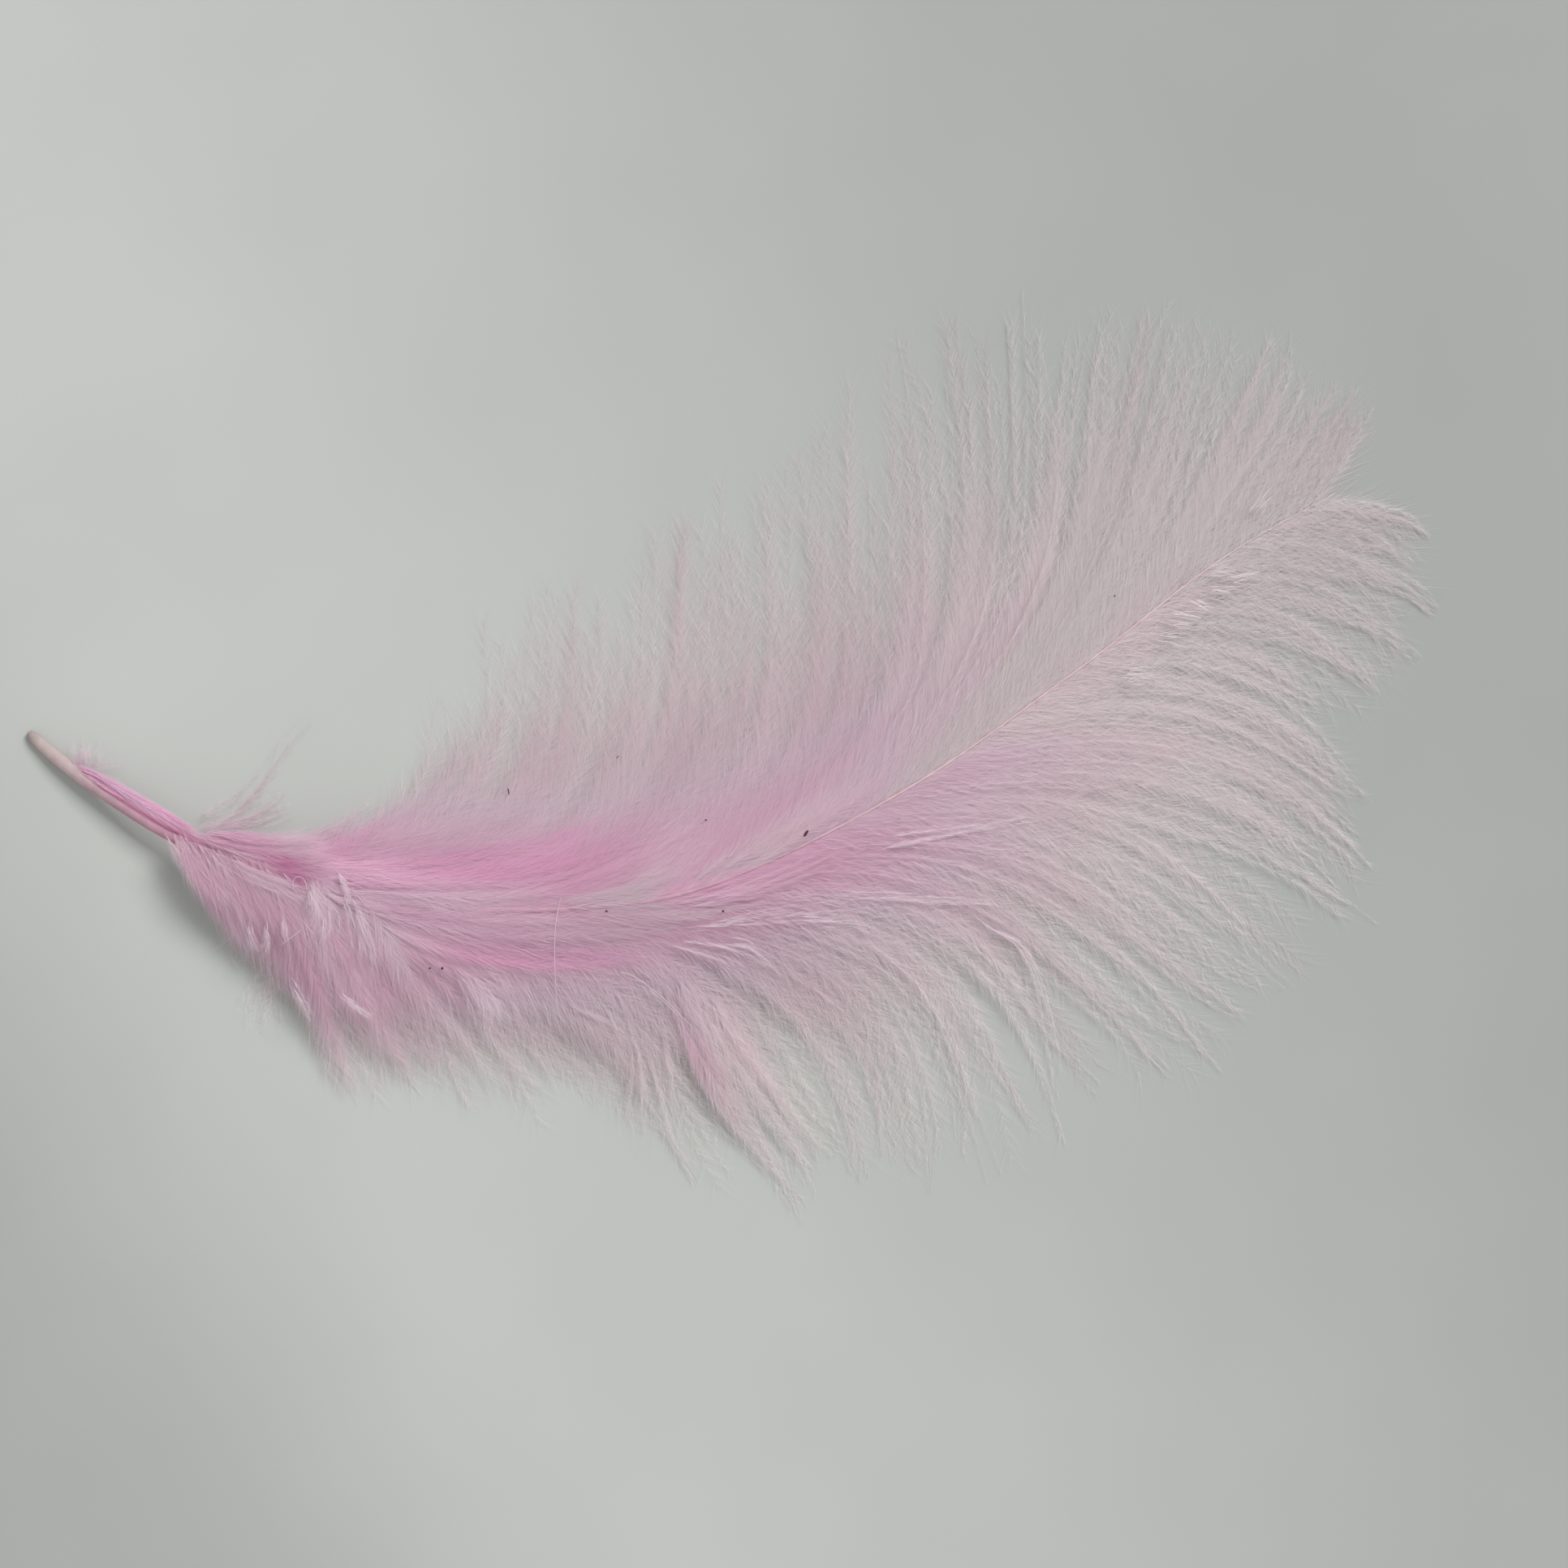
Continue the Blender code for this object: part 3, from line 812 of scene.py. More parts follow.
def make_vane(name, curves, bands, pieces, widths, hair_widths, per_mm, reach, lean, crowding):
    """One vane, its hairs in as many pieces as keep each of them light."""
    barbs = Soup()
    width = table(widths, curves.station)[:, 0]
    add_stems(barbs, curves, width, BARB_TIP_SHARE * width)
    barbs.piece(f"{name}_barbs", down_material(f"{name}_barbs", whiter(bands), VANE_STREAKS))
    material = down_material(name, bands, VANE_STREAKS)
    reached = np.cumsum(curves.length)
    which = np.minimum((reached / reached[-1] * pieces).astype(int), pieces - 1)
    for i in range(pieces):
        part = curves.part(which == i)
        soup = Soup()
        by_barb = (hair_widths, per_mm, HAIR_SCATTER, crowding)
        hair_width, many, scatter, bias = (table(rows, part.station)[:, 0] for rows in by_barb)
        add_hairs(soup, part, many, near_mid_far(reach), near_mid_far(lean), hair_width, scatter, bias)
        soup.piece(f"{name}_{i}", material)


def undercoat_lean(share, station):
    return np.interp(station, *np.array(UNDERCOAT_LEAN).T)


def make_undercoat(name, curves, bands):
    """Sparse, wide, fine down that fills the gaps between the locks."""
    soup = Soup()
    add_stems(soup, curves, *UNDERCOAT_STEM, THIN_STEM_RINGS)
    per_mm = np.interp(curves.station, *np.array(UNDERCOAT_PER_MM).T)
    add_hairs(soup, curves, per_mm, between(*UNDERCOAT_REACH), undercoat_lean, UNDERCOAT_HAIR_WIDTH,
              THIN_HAIR_SCATTER)
    soup.piece(name, down_material(name, bands, VANE_STREAKS))


def make_points(name, curves, bands):
    """The long barbs that run out into the locks' points, with short hairs."""
    soup = Soup()
    add_stems(soup, curves, *POINT_STEM, THIN_STEM_RINGS)
    add_hairs(soup, curves, POINT_PER_MM, between(*POINT_REACH), between(*POINT_LEAN),
              scatter=THIN_HAIR_SCATTER)
    soup.piece(name, down_material(name, bands, VANE_STREAKS))


# The matted down and the single locks that lie on the vanes: guides from one edge of each to the other.
COVER_GUIDES = (
    ((-44.2, -8.7), (-37.9, -7.9), (-30.7, -6.3), (-24.3, -4.3)),
    ((-43.8, -9.5), (-35.5, -9.6), (-26.7, -8.7), (-17.9, -5.9)),
    ((-43.4, -10.4), (-33.9, -11.5), (-24.3, -10.9), (-13.9, -7.9)),
    ((-42.7, -11.5), (-32.3, -13.1), (-21.1, -12.8), (-9.1, -9.9)),
    ((-41.9, -12.7), (-31.5, -14.4), (-19.5, -14.9), (-7.5, -13.5)),
    ((-40.3, -13.3), (-29.9, -16.3), (-17.9, -17.3), (-5.1, -16.3)),
    ((-39.5, -13.9), (-30.7, -17.5), (-21.1, -19.5), (-8.3, -18.7)),
    ((-40.3, -13.9), (-33.1, -18.3), (-25.1, -21.5), (-14.7, -22.3)),
    ((-38.5, -15.5), (-29.5, -20.5), (-21, -24), (-11, -27.6)),
)
# The palest pink at the start of the second band is the down's dye and partly a painted highlight on the
# raised start of the matted down.
COVER_BANDS = (
    (0, 0, ((0, MASS), (0.3, MASS), (1, SOFT))),
    (0.09, 0.22, ((0, (0.95, 0.71, 0.84)), (0.35, (0.95, 0.67, 0.82)), (0.62, DEEP), (0.95, DEEP))),
    (0.31, 0.44, ((0, MASS), (0.4, (0.82, 0.58, 0.715)), (0.7, (0.84, 0.61, 0.73)), (1, (0.83, 0.61, 0.72)))),
    (0.54, 0.63, ((0, PALE), (0.25, (0.83, 0.61, 0.73)), (0.6, (0.82, 0.59, 0.715)), (1, SOFT))),
    (0.65, 0.74, ((0, SOFT), (0.3, (0.89, 0.69, 0.79)), (0.55, (0.91, 0.60, 0.76)), (0.95, DEEP))),
    (0.80, 0.88, ((0, SOFT), (0.5, (0.91, 0.66, 0.79)), (1, (0.88, 0.74, 0.80)))),
    (0.90, 1, ((0, SOFT), (0.5, SOFT), (1, PALE))),
)
MIDDLE_GUIDES = (
    ((-27.5, -13.1), (-21.1, -10.3), (-14.7, -6.7), (-9.1, -1.5)),
    ((-24.3, -13.9), (-17.1, -11.9), (-9.9, -8.7), (-3.5, -3.9)),
    ((-21.1, -14.4), (-13.9, -13.3), (-8.3, -11.9), (-1.9, -8.7)),
    ((-21.1, -14.7), (-16.3, -14.8), (-11.5, -14.6), (-7.1, -14.4)),
    ((-19.5, -15.2), (-11.5, -15.9), (-3.5, -15.7), (4.5, -13.9)),
    ((-21.1, -15.2), (-13.1, -17.1), (-4.3, -18.3), (4.5, -18.3)),
)
MIDDLE_BANDS = (
    (0, 0, ((0, DEEP), (0.5, (0.86, 0.57, 0.72)), (0.8, MASS), (1, SOFT))),
    (0.3, 0.5, ((0, DEEP), (0.35, (0.81, 0.60, 0.70)), (0.7, (0.80, 0.67, 0.72)), (1, SOFT))),
    (0.7, 0.9, ((0, MASS), (0.6, (0.86, 0.60, 0.73)), (1, MASS))),
)
LOBE_GUIDES = (
    ((-4.3, -12.7), (-1.1, -10.3), (3.7, -7.1), (10.9, -3.5)),
    ((-1.9, -12.3), (2.1, -9.6), (6.9, -6.7), (13.7, -2.7)),
    ((1.3, -11.1), (5.3, -8.7), (10.1, -5.5), (15.7, -2.1)),
)
LOBE_BANDS = one_band((0, SOFT), (0.4, (0.85, 0.68, 0.75)), (1, (0.87, 0.71, 0.78)))
# The deep streak that runs along the shaft where the matted down ends.
STREAK_GUIDES = (
    ((-7.1, -14), (-1.9, -12), (3.7, -9.6), (12.5, -5.3)),
    ((-5.9, -14.8), (-0.3, -13.3), (6.1, -10.8), (14.9, -6.7)),
    ((-4.3, -15.4), (2.3, -14), (9.3, -11.4), (18.3, -7.3)),
)
STREAK_BANDS = (
    (0, 0, ((0, MASS), (0.25, DEEP), (0.7, (0.88, 0.61, 0.75)), (1, MASS))),
    (0.3, 0.6, ((0, MASS), (0.4, (0.86, 0.62, 0.74)), (0.7, (0.86, 0.62, 0.74)), (1, MASS))),
)
BASE_EDGE_GUIDES = (
    ((-55.5, -7.3), (-53.1, -11.3), (-50.3, -15.1), (-47.4, -18.5)),
    ((-54.2, -7.8), (-51.5, -12.3), (-48.7, -16.3), (-45.9, -20.1)),
    ((-52.4, -8.5), (-49.5, -13.1), (-46.5, -17.6), (-43.9, -22.3)),
    ((-49.9, -9.4), (-46.9, -14.3), (-43.9, -19.3), (-40.9, -26.1)),
    ((-48.1, -10), (-44.9, -15.3), (-42, -21.7), (-38, -32.3)),
)
BASE_GUIDES = (
    ((-52.2, -8.8), (-48.9, -13.9), (-45.7, -19.3), (-41.5, -26.5)),
    ((-49.7, -9.4), (-46.1, -14.8), (-42.5, -20.9), (-38.5, -31.3)),
    ((-47.1, -10.1), (-43.5, -16.5), (-40.7, -23.7), (-37, -35.6)),
    ((-45.2, -10.6), (-41.1, -17.4), (-38.3, -24.1), (-34.7, -31.9)),
    ((-43.2, -11.1), (-38.7, -18.2), (-35.9, -24.5), (-31.8, -31.5)),
    ((-41.2, -11.7), (-36.7, -18.1), (-33.1, -23.5), (-27.5, -30.1)),
    ((-39.2, -12.2), (-33.9, -18.1), (-29.5, -23.3), (-24.3, -29.1)),
    ((-36.8, -12.6), (-30.7, -18.1), (-25.1, -22.5), (-17.9, -27.1)),
)
# Low, thin down that shows past the matted down's lower edge.
HEM_GUIDES = (
    ((-40.9, -17.5), (-38.3, -22.3), (-36.1, -26.9), (-33.9, -31.1)),
    ((-36.1, -18.3), (-33.3, -22.7), (-30.3, -27.3), (-26.3, -33.9)),
    ((-31.3, -19.1), (-27.7, -23.5), (-23.7, -28.3), (-19.1, -33.5)),
    ((-26.5, -19.9), (-22.5, -23.5), (-18.1, -27.1), (-13.7, -31.1)),
    ((-21.7, -20.7), (-17.7, -23.1), (-13.7, -25.1), (-9.7, -27.3)),
)
HEM_BANDS = one_band((0, (0.90, 0.70, 0.80)), (0.3, (0.89, 0.75, 0.81)), (0.6, PALE), (1, THIN_FAR))
WISP_GUIDES = (
    ((-44.2, -20.5), (-46.3, -21.5), (-47.8, -23.5), (-48.3, -26.4)),
    ((-44.2, -20.7), (-45.5, -22.7), (-46.6, -24.7), (-46.9, -27.1)),
    ((-43.9, -21.1), (-44.7, -23.5), (-45.1, -25.9), (-44.3, -28.3)),
)
WISP_BANDS = one_band((0, PALE), (0.3, FAR), (1, WHITE))
# The dark stop at 0.6 along the base's strands is painted shade on the shaded lower left of the base's down.
BASE_BANDS = (
    (0, 0, (
        (0, (0.84, 0.63, 0.73)), (0.4, (0.84, 0.62, 0.72)), (0.6, (0.72, 0.495, 0.60)),
        (0.85, (0.82, 0.65, 0.73)), (1, (0.87, 0.76, 0.79)),
    )),
    (0.10, 0.30, (
        (0, (0.85, 0.64, 0.74)), (0.4, (0.86, 0.64, 0.74)), (0.65, (0.84, 0.61, 0.71)),
        (0.85, (0.86, 0.71, 0.77)), (1, (0.88, 0.77, 0.80)),
    )),
)
STREAM_GUIDES = (
    (
        ((-43.3, -9.7), (-41.7, -12.5), (-40.9, -15.1), (-40.5, -18.1)),
        ((-42.1, -9.9), (-39.9, -12.9), (-38.7, -15.9), (-38.3, -19.3)),
    ),
    (
        ((-38.3, -11.1), (-36.5, -14.3), (-35.1, -18.1), (-33.9, -21.9)),
        ((-36.7, -11.7), (-34.3, -16.3), (-32.1, -20.9), (-30.1, -25.5)),
    ),
    (
        ((-33.5, -11.9), (-30.1, -13.7), (-26.5, -15.7), (-22.7, -18.1)),
        ((-32.1, -12.1), (-28.5, -14.1), (-24.9, -16.3), (-21.5, -18.9)),
    ),
    (
        ((-28.3, -19.9), (-26.3, -21.9), (-24.7, -23.7), (-23.8, -25.5)),
        ((-26.7, -20.3), (-24.5, -22.3), (-22.7, -24.3), (-21.9, -26.1)),
    ),
    (
        ((-35.9, -11.8), (-29.1, -13.3), (-22.7, -14.9), (-16.3, -18.4)),
    ),
)
STREAM_BANDS = one_band((0, MASS), (0.3, (0.90, 0.74, 0.82)), (0.8, (0.94, 0.83, 0.88)))
HOOK_GUIDES = (
    ((-7.7, -20.5), (-4.7, -28.3), (-1.9, -34.4), (6.5, -45.2)),
    ((-6.9, -20.3), (-3.6, -28), (0.1, -34.3), (5.7, -40.8)),
    ((-5.9, -20), (-1.9, -27.5), (2.1, -33.3), (7.9, -40.9)),
    ((-4.7, -19.8), (0.1, -27.1), (4.1, -32.3), (8.3, -38.7)),
)
HOOK_BANDS = (
    (0, 0, ((0, SOFT), (0.4, (0.87, 0.69, 0.76)), (0.6, LIGHT), (1, FAR))),
    (0.3, 0.6, ((0, SOFT), (0.3, LIGHT), (0.8, FAR))),
)
BENT_GUIDES = (
    (
        ((-17.1, -24), (-13.9, -25.6), (-11.1, -27.1), (-9.4, -28.2)),
        ((-18.7, -23.2), (-15.1, -24.7), (-11.9, -26.4), (-9.6, -28.3)),
    ),
    (((-10.6, -26.6), (-9.1, -30.1), (-9, -34.3), (-8.6, -37.6)),),
    (((-10.9, -26.6), (-9.9, -30.5), (-10.2, -34.7), (-10.6, -38)),),
    (((-9.9, -26.4), (-7.6, -31.5), (-6.1, -36.7), (-3.6, -41.8)),),
    (((-7.5, -25.2), (-6.6, -29.1), (-6.1, -33.5), (-5.5, -37.9)),),
)
BENT_BANDS = one_band((0, PALE), (1, FAR))
BAND_GUIDES = (
    ((-64.6, -0.8), (-61.5, -2.3), (-57.5, -4.4), (-53.4, -6.9)),
    ((-64.4, -1.3), (-61.1, -2.9), (-57.1, -5.5), (-52.3, -8.4)),
    ((-64.2, -1.8), (-60.6, -4.3), (-56.6, -6.5), (-52, -9.1)),
)
# The upper edge of the base's down, below the sheet.
RIM_GUIDES = (
    ((-55.5, -7.4), (-50.9, -9.5), (-46.3, -11.5), (-41.3, -13.1)),
    ((-55.1, -8.1), (-50.7, -10.3), (-46.3, -12.4), (-41.7, -14.3)),
)
RIM_BANDS = one_band(
    (0, (0.72, 0.42, 0.54)), (0.18, (0.80, 0.55, 0.66)),
    (0.4, (0.85, 0.65, 0.75)), (1, (0.88, 0.71, 0.80)),
)
GROOVE = (0.89, 0.50, 0.69)
BAND_BANDS = (
    (0, 0, (
        (0, (0.92, 0.62, 0.80)), (0.55, (0.93, 0.67, 0.83)),
        (0.8, (0.94, 0.64, 0.80)), (1, (0.83, 0.50, 0.68)),
    )),
    (0.60, 0.84, (
        (0, (0.90, 0.58, 0.75)), (0.35, GROOVE), (0.6, GROOVE),
        (0.8, (0.82, 0.37, 0.58)), (1, (0.62, 0.26, 0.40)),
    )),
)
SHEET_GUIDES = (
    ((-53.4, -6.9), (-49.1, -7.7), (-44.9, -8), (-40.5, -7.6)),
    ((-52.7, -7.9), (-48.6, -9), (-44.6, -9.7), (-40.5, -9.7)),
    ((-52.2, -8.7), (-48.1, -10.3), (-44.1, -11.3), (-40.1, -11.5)),
    ((-51.8, -9.2), (-47.6, -10.9), (-43.5, -12.2), (-39.4, -13.1)),
)
SHEET_BANDS = (
    (0, 0, ((0, (0.86, 0.60, 0.73)), (0.5, (0.88, 0.59, 0.74)), (0.8, MASS))),
    (0.2, 0.4, (
        (0, (0.66, 0.32, 0.46)), (0.14, (0.78, 0.48, 0.61)), (0.45, (0.86, 0.57, 0.71)),
        (0.72, (0.78, 0.38, 0.59)), (0.95, MASS),
    )),
    (0.6, 0.9, (
        (0, (0.66, 0.34, 0.47)), (0.3, (0.76, 0.47, 0.60)), (0.55, (0.82, 0.52, 0.65)),
        (0.78, (0.75, 0.38, 0.57)), (0.97, MASS),
    )),
)
TUFT_GUIDES = (
    (
        ((-64.3, -1.5), (-64.6, -0.7), (-64.8, 0), (-64.9, 0.5)),
        ((-63.9, -1.6), (-64, -0.3), (-64.1, 0.9), (-64.2, 2.3)),
        ((-63.5, -1.7), (-63.5, -0.7), (-63.5, 0.1), (-63.4, 1.3)),
    ),
    (((-63.3, -1.6), (-62.6, -1.1), (-61.9, -0.4), (-61.2, 0)),),
    (((-63, -1.7), (-61.9, -1.6), (-60.7, -1.7), (-59.4, -2)),),
    (((-53.5, -6.9), (-50.8, -5.8), (-47.4, -3.9), (-45, -0.8)),),
    (
        ((-53.1, -7.2), (-49.3, -6.2), (-45.8, -4.7), (-43.5, -2.9)),
        ((-53.1, -7.3), (-48.5, -6.8), (-45.4, -5.8), (-43.8, -4.7)),
        ((-52.6, -7.6), (-49, -7.4), (-46.2, -6.8), (-43.6, -5.8)),
    ),
    (((-50.9, -6.6), (-47.4, -3.9), (-44.9, -0.4), (-41.9, 3.7)),),
    (
        ((-43.8, -8.2), (-40.3, -7.2), (-38.1, -5.8), (-36.3, -4.4)),
        ((-43.4, -8.5), (-39.1, -7.4), (-36.3, -6.1), (-33.9, -4.3)),
    ),
)
TUFT_BANDS = one_band((0, (0.87, 0.64, 0.76)), (0.5, (0.85, 0.68, 0.76)), (1, (0.82, 0.70, 0.74)))
RIB_GUIDES = (
    ((12.3, -9.6), (16.5, -8.5), (22.1, -7.3), (30.7, -5.9)),
    ((7.7, -13.9), (14.1, -14), (20.5, -14.4), (26.9, -14.9)),
    ((23.2, -15.2), (26.9, -17.9), (29.7, -22.3), (32.2, -37.1)),
    ((2.9, -16.1), (6.1, -15.9), (10.9, -16), (15.7, -17.2)),
    ((-1.9, -18.1), (0.5, -18.5), (2.5, -19.4), (5.9, -22.8)),
    ((-6.6, -18.5), (-3.5, -18.8), (0.1, -19.9), (3.7, -22.3)),
    ((-5, -17), (-1.1, -16.7), (2.1, -16.2), (6.1, -15.7)),
)
LONG_HAIRS = (
    ((-16.9, -13.9), (-17.3, -15.9), (-17.5, -19.1), (-17.3, -24.5)),
    ((-11.1, -21.2), (-8.7, -22.3), (-5.9, -24.7), (-3.5, -27.2)),
    ((-8.3, -22.8), (-7.4, -23.6), (-6.4, -24.5), (-5.5, -25.5)),
    ((-45.6, -16.2), (-45.6, -17.3), (-45.7, -18.3), (-45.8, -19.2)),
    ((-40.1, -16), (-40.1, -16.9), (-40.2, -17.6), (-40.5, -18.4)),
    ((-38.6, -15.6), (-38.5, -16.1), (-38.5, -16.8), (-38.6, -17.3)),
    ((-44.3, -18.6), (-43.7, -18.1), (-43, -17.6), (-42.3, -17)),
    ((-36.6, -18.1), (-36.5, -18.6), (-36.5, -19.1), (-36.6, -19.6)),
    ((-43, -13), (-42.9, -12), (-42.2, -11.9), (-41.7, -13.1)),
)
# Painted highlight: short white strands put where the barbs catch the light beside the thin end of the shaft:
# from and to.
GLINTS = (
    ((46.4, 17.9), (49.4, 18.5)),
    ((48.2, 17.3), (51.8, 17.5)),
    ((46.6, 16.3), (49.8, 15.9)),
    ((44.6, 15.3), (47.4, 14.5)),
    ((42.8, 14.1), (46.2, 13.3)),
    ((42.4, 12.9), (45.4, 12.5)),
    ((41.4, 11.7), (44.4, 11.5)),
    ((38.2, 8.3), (41.4, 8.1)),
    ((37.8, 7.3), (40.4, 7.5)),
    ((50.6, 23.6), (53.2, 26.2)),
)
# On the glints this white is a painted highlight; the long hairs are pale in their own colour.
WHITE_BANDS = one_band((0, SOFT), (0.2, WHITE), (0.9, WHITE))
# The white of the ribs and curls is partly the hairs' own pale colour and partly a painted highlight.
RIB_BANDS = one_band((0, SOFT), (0.3, (0.91, 0.80, 0.85)), (0.9, (0.92, 0.84, 0.87)))
# Pale hairs that curl over the matted down at the base; their white is partly a painted highlight.
CURL_GUIDES = (
    ((-47.2, -15.8), (-47.4, -17.3), (-47.2, -18.5), (-47, -19.4)),
    ((-45.8, -16.4), (-45.5, -17.5), (-45.5, -18.6), (-45.8, -19.4)),
    ((-44.1, -15.6), (-43.9, -16.7), (-43.8, -17.8), (-43.7, -18.9)),
    ((-40, -15.6), (-40, -16.5), (-40.2, -17.4), (-40.5, -18.4)),
    ((-38.5, -12.7), (-37.8, -14.6), (-37.2, -16.7), (-36.8, -18.9)),
    ((-37.2, -13.5), (-36.3, -15.8), (-35.8, -17.9), (-35.5, -19.8)),
    ((-41.6, -12.3), (-41.3, -13.5), (-41.3, -14.4), (-41.6, -15.6)),
    ((-39.3, -10.4), (-38.5, -11.8), (-38, -13.1), (-37.6, -14.6)),
    ((-38.9, -22.7), (-37.6, -24), (-36.4, -25), (-35.4, -25.6)),
    ((-43.7, -21.2), (-42.9, -22.7), (-42, -24.6), (-41.4, -26.5)),
)
FAMILY_STREAKS = (1.2, 14.0)
FAMILY_STEM = (0.026, 0.011)


def add_family(name, groups, bands, per_mm=0, reach=None, lean=None, stem=FAMILY_STEM, scatter=0.35,
               light=STREAK_SHARE, width=HAIR_WIDTH):
    """One piece made of groups of strands. reach and lean go from a strand's root to its tip."""
    material = down_material(name, bands, FAMILY_STREAKS, light)
    soup = Soup()
    for curves in groups:
        add_stems(soup, curves, *stem)
        if per_mm:
            add_hairs(soup, curves, per_mm, between(*reach), between(*lean), width, scatter, 1.0)
    soup.piece(name, material)


def make_overlays(relief):
    on = {"relief": relief}
    cover = strands(COVER_GUIDES, 140, (0.2, 0.4, 0.35, 0.1), 0.6, 0.3, 0.15, sink=0.7, **on)
    middle = strands(MIDDLE_GUIDES, 85, (0.0, 0.3, 0.3, 0.0), 0.5, 0.4, 0.15, sink=0.5, **on)
    lobe = strands(LOBE_GUIDES, 45, (0.0, 0.3, 0.3, 0.0), 0.35, 0.25, 0.12, **on)
    streak = strands(STREAK_GUIDES, 60, (0.1, 0.2, 0.1, -0.2), 0.45, 0.4, 0.25, sink=0.9, **on)
    add_family("matted_cover", [cover], COVER_BANDS, 15, (3.4, 2.8), (10, 16))
    add_family("matted_middle", [middle], MIDDLE_BANDS, 17, (3.0, 2.4), (10, 16))
    add_family("pale_lobe", [lobe], LOBE_BANDS, 17, (2.4, 1.8), (16, 24))
    add_family("deep_streak", [streak], STREAK_BANDS, 17, (2.4, 1.8), (8, 10))
    streams = [strands(g, 6 * len(g), (0.1, 0.3, 0.2, -0.2), 1.0, 0.4, 0.3, **on) for g in STREAM_GUIDES]
    add_family("pale_streams", streams, STREAM_BANDS, 14, (3.0, 2.8), (16, 26))
    hook = strands(HOOK_GUIDES, 42, (0.1, 0.6, 0.7, 0.2), 0.6, 0.5, 0.25, sink=0.3, **on)
    add_family("hooked_lock", [hook], HOOK_BANDS, 14, (2.4, 1.4), (18, 24))
    bent = [strands(g, 5, (0.0, 0.2, 0.2, 0.0), 0.25, 0.4, 0.4, **on) for g in BENT_GUIDES]
    add_family("bent_lock", bent, BENT_BANDS, 14, (1.5, 0.5), (20, 12), (0.020, 0.009), width=0.014)
    hem = strands(HEM_GUIDES, 120, (2.6, 1.9, 0.9, 0.3), 0.8, 0.2, 0.34)
    add_family("hem", [hem], HEM_BANDS, 12, (3.4, 3.0), (20, 20), (0.016, 0.009), width=0.017)
    wisp = strands(WISP_GUIDES, 20, (1.0, 0.6, 0.4, 0.2), 0.8, 0.1, 0.4)
    add_family("low_wisp", [wisp], WISP_BANDS, 10, (2.0, 1.4), (26, 30), (0.010, 0.006), width=0.011)
    tufts = []
    for guides in TUFT_GUIDES:
        count, stray = (6, 0.6) if len(guides) == 1 else (10 * len(guides), 0.45)
        tufts.append(strands(guides, count, (0.0, 0.5, 0.6, 0.3), 1.4 * stray, 0.3, 0.3, **on))
    add_family("quill_tufts", tufts, TUFT_BANDS, 10, (1.0, 0.5), (26, 20), (0.024, 0.010), width=0.012)


def make_quill_down():
    band = strands(BAND_GUIDES, 75, (1.7, 2.25, 2.8, 3.3), 0.12, 0.5, 0.06)
    add_family("quill_band", [band], BAND_BANDS, 14, (1.8, 1.8), (6, 6), scatter=0.2)
    sheet = strands(SHEET_GUIDES, 90, (3.3, 3.7, 4.1, 4.3), 0.35, 0.3, 0.10)
    add_family("base_sheet", [sheet], SHEET_BANDS, 14, (2.4, 2.4), (9, 12), scatter=0.15)
    rim = strands(RIM_GUIDES, 30, (2.9, 3.9, 4.3, 4.4), 0.2, 0.4, 0.2)
    add_family("base_rim", [rim], RIM_BANDS, 13, (1.8, 1.8), (8, 12), scatter=0.15)


def make_white_hairs_and_painted_glints(relief):
    # Ribs and curls: pale hairs whose white is partly a painted highlight.
    ribs = [strands((g,), 6, (0.2, 0.4, 0.4, 0.2), 0.55, 0.4, 0.3, relief) for g in RIB_GUIDES]
    add_family("white_ribs", ribs, RIB_BANDS, 8, (1.4, 1.0), (9, 14), (0.032, 0.014))
    curls = [strands((g,), 5, (0.8, 1.1, 1.1, 0.8), 0.34, 0.4, 0.35, relief) for g in CURL_GUIDES]
    add_family("white_curls", curls, RIB_BANDS, 8, (1.2, 0.8), (14, 18), (0.030, 0.012))
    # The glints: white strands that stand in for highlights, a painted highlight.
    glints = []
    for (x0, y0), (x1, y1) in GLINTS:
        guide = tuple((x0 + (x1 - x0) * k / 3, y0 + (y1 - y0) * k / 3) for k in range(4))
        glints.append(strands((guide,), 8, (1.0, 1.3, 1.2, 0.9), 0.45, 0.5, 0.3, relief))
    add_family("painted_glints", glints, WHITE_BANDS, stem=(0.075, 0.03))
    hairs = [strands((g,), 1, (0.5, 0.8, 0.8, 0.5), 0.0, 0.0, 0.0, relief) for g in LONG_HAIRS]
    add_family("long_hairs", hairs, WHITE_BANDS, stem=(0.07, 0.04))


# Dirt that the photo shows on the down: place, length, width, and the way it points.
SPECKS = (
    (7.1, -7.6, 0.85, 0.34, 55),
    (-22.1, -3.5, 0.80, 0.14, -80),
    (-29.7, -20.8, 0.26, 0.20, 10),
    (-28.5, -20.8, 0.34, 0.26, 60),
    (-12.4, -15.2, 0.30, 0.22, -20),
    (-1.0, -15.2, 0.28, 0.22, 0),
    (-2.7, -6.3, 0.30, 0.16, 15),
    (-11.4, -0.1, 0.42, 0.10, 55),
    (37.4, 15.7, 0.20, 0.14, 30),
)


SPECK_NOISE = 2500.0
SPECK_STOPS = ((0.3, (0.02, 0.006, 0.02)), (0.7, (0.10, 0.02, 0.05)))
SPECK_SIDES = 6
SPECK_LIFT = 0.5


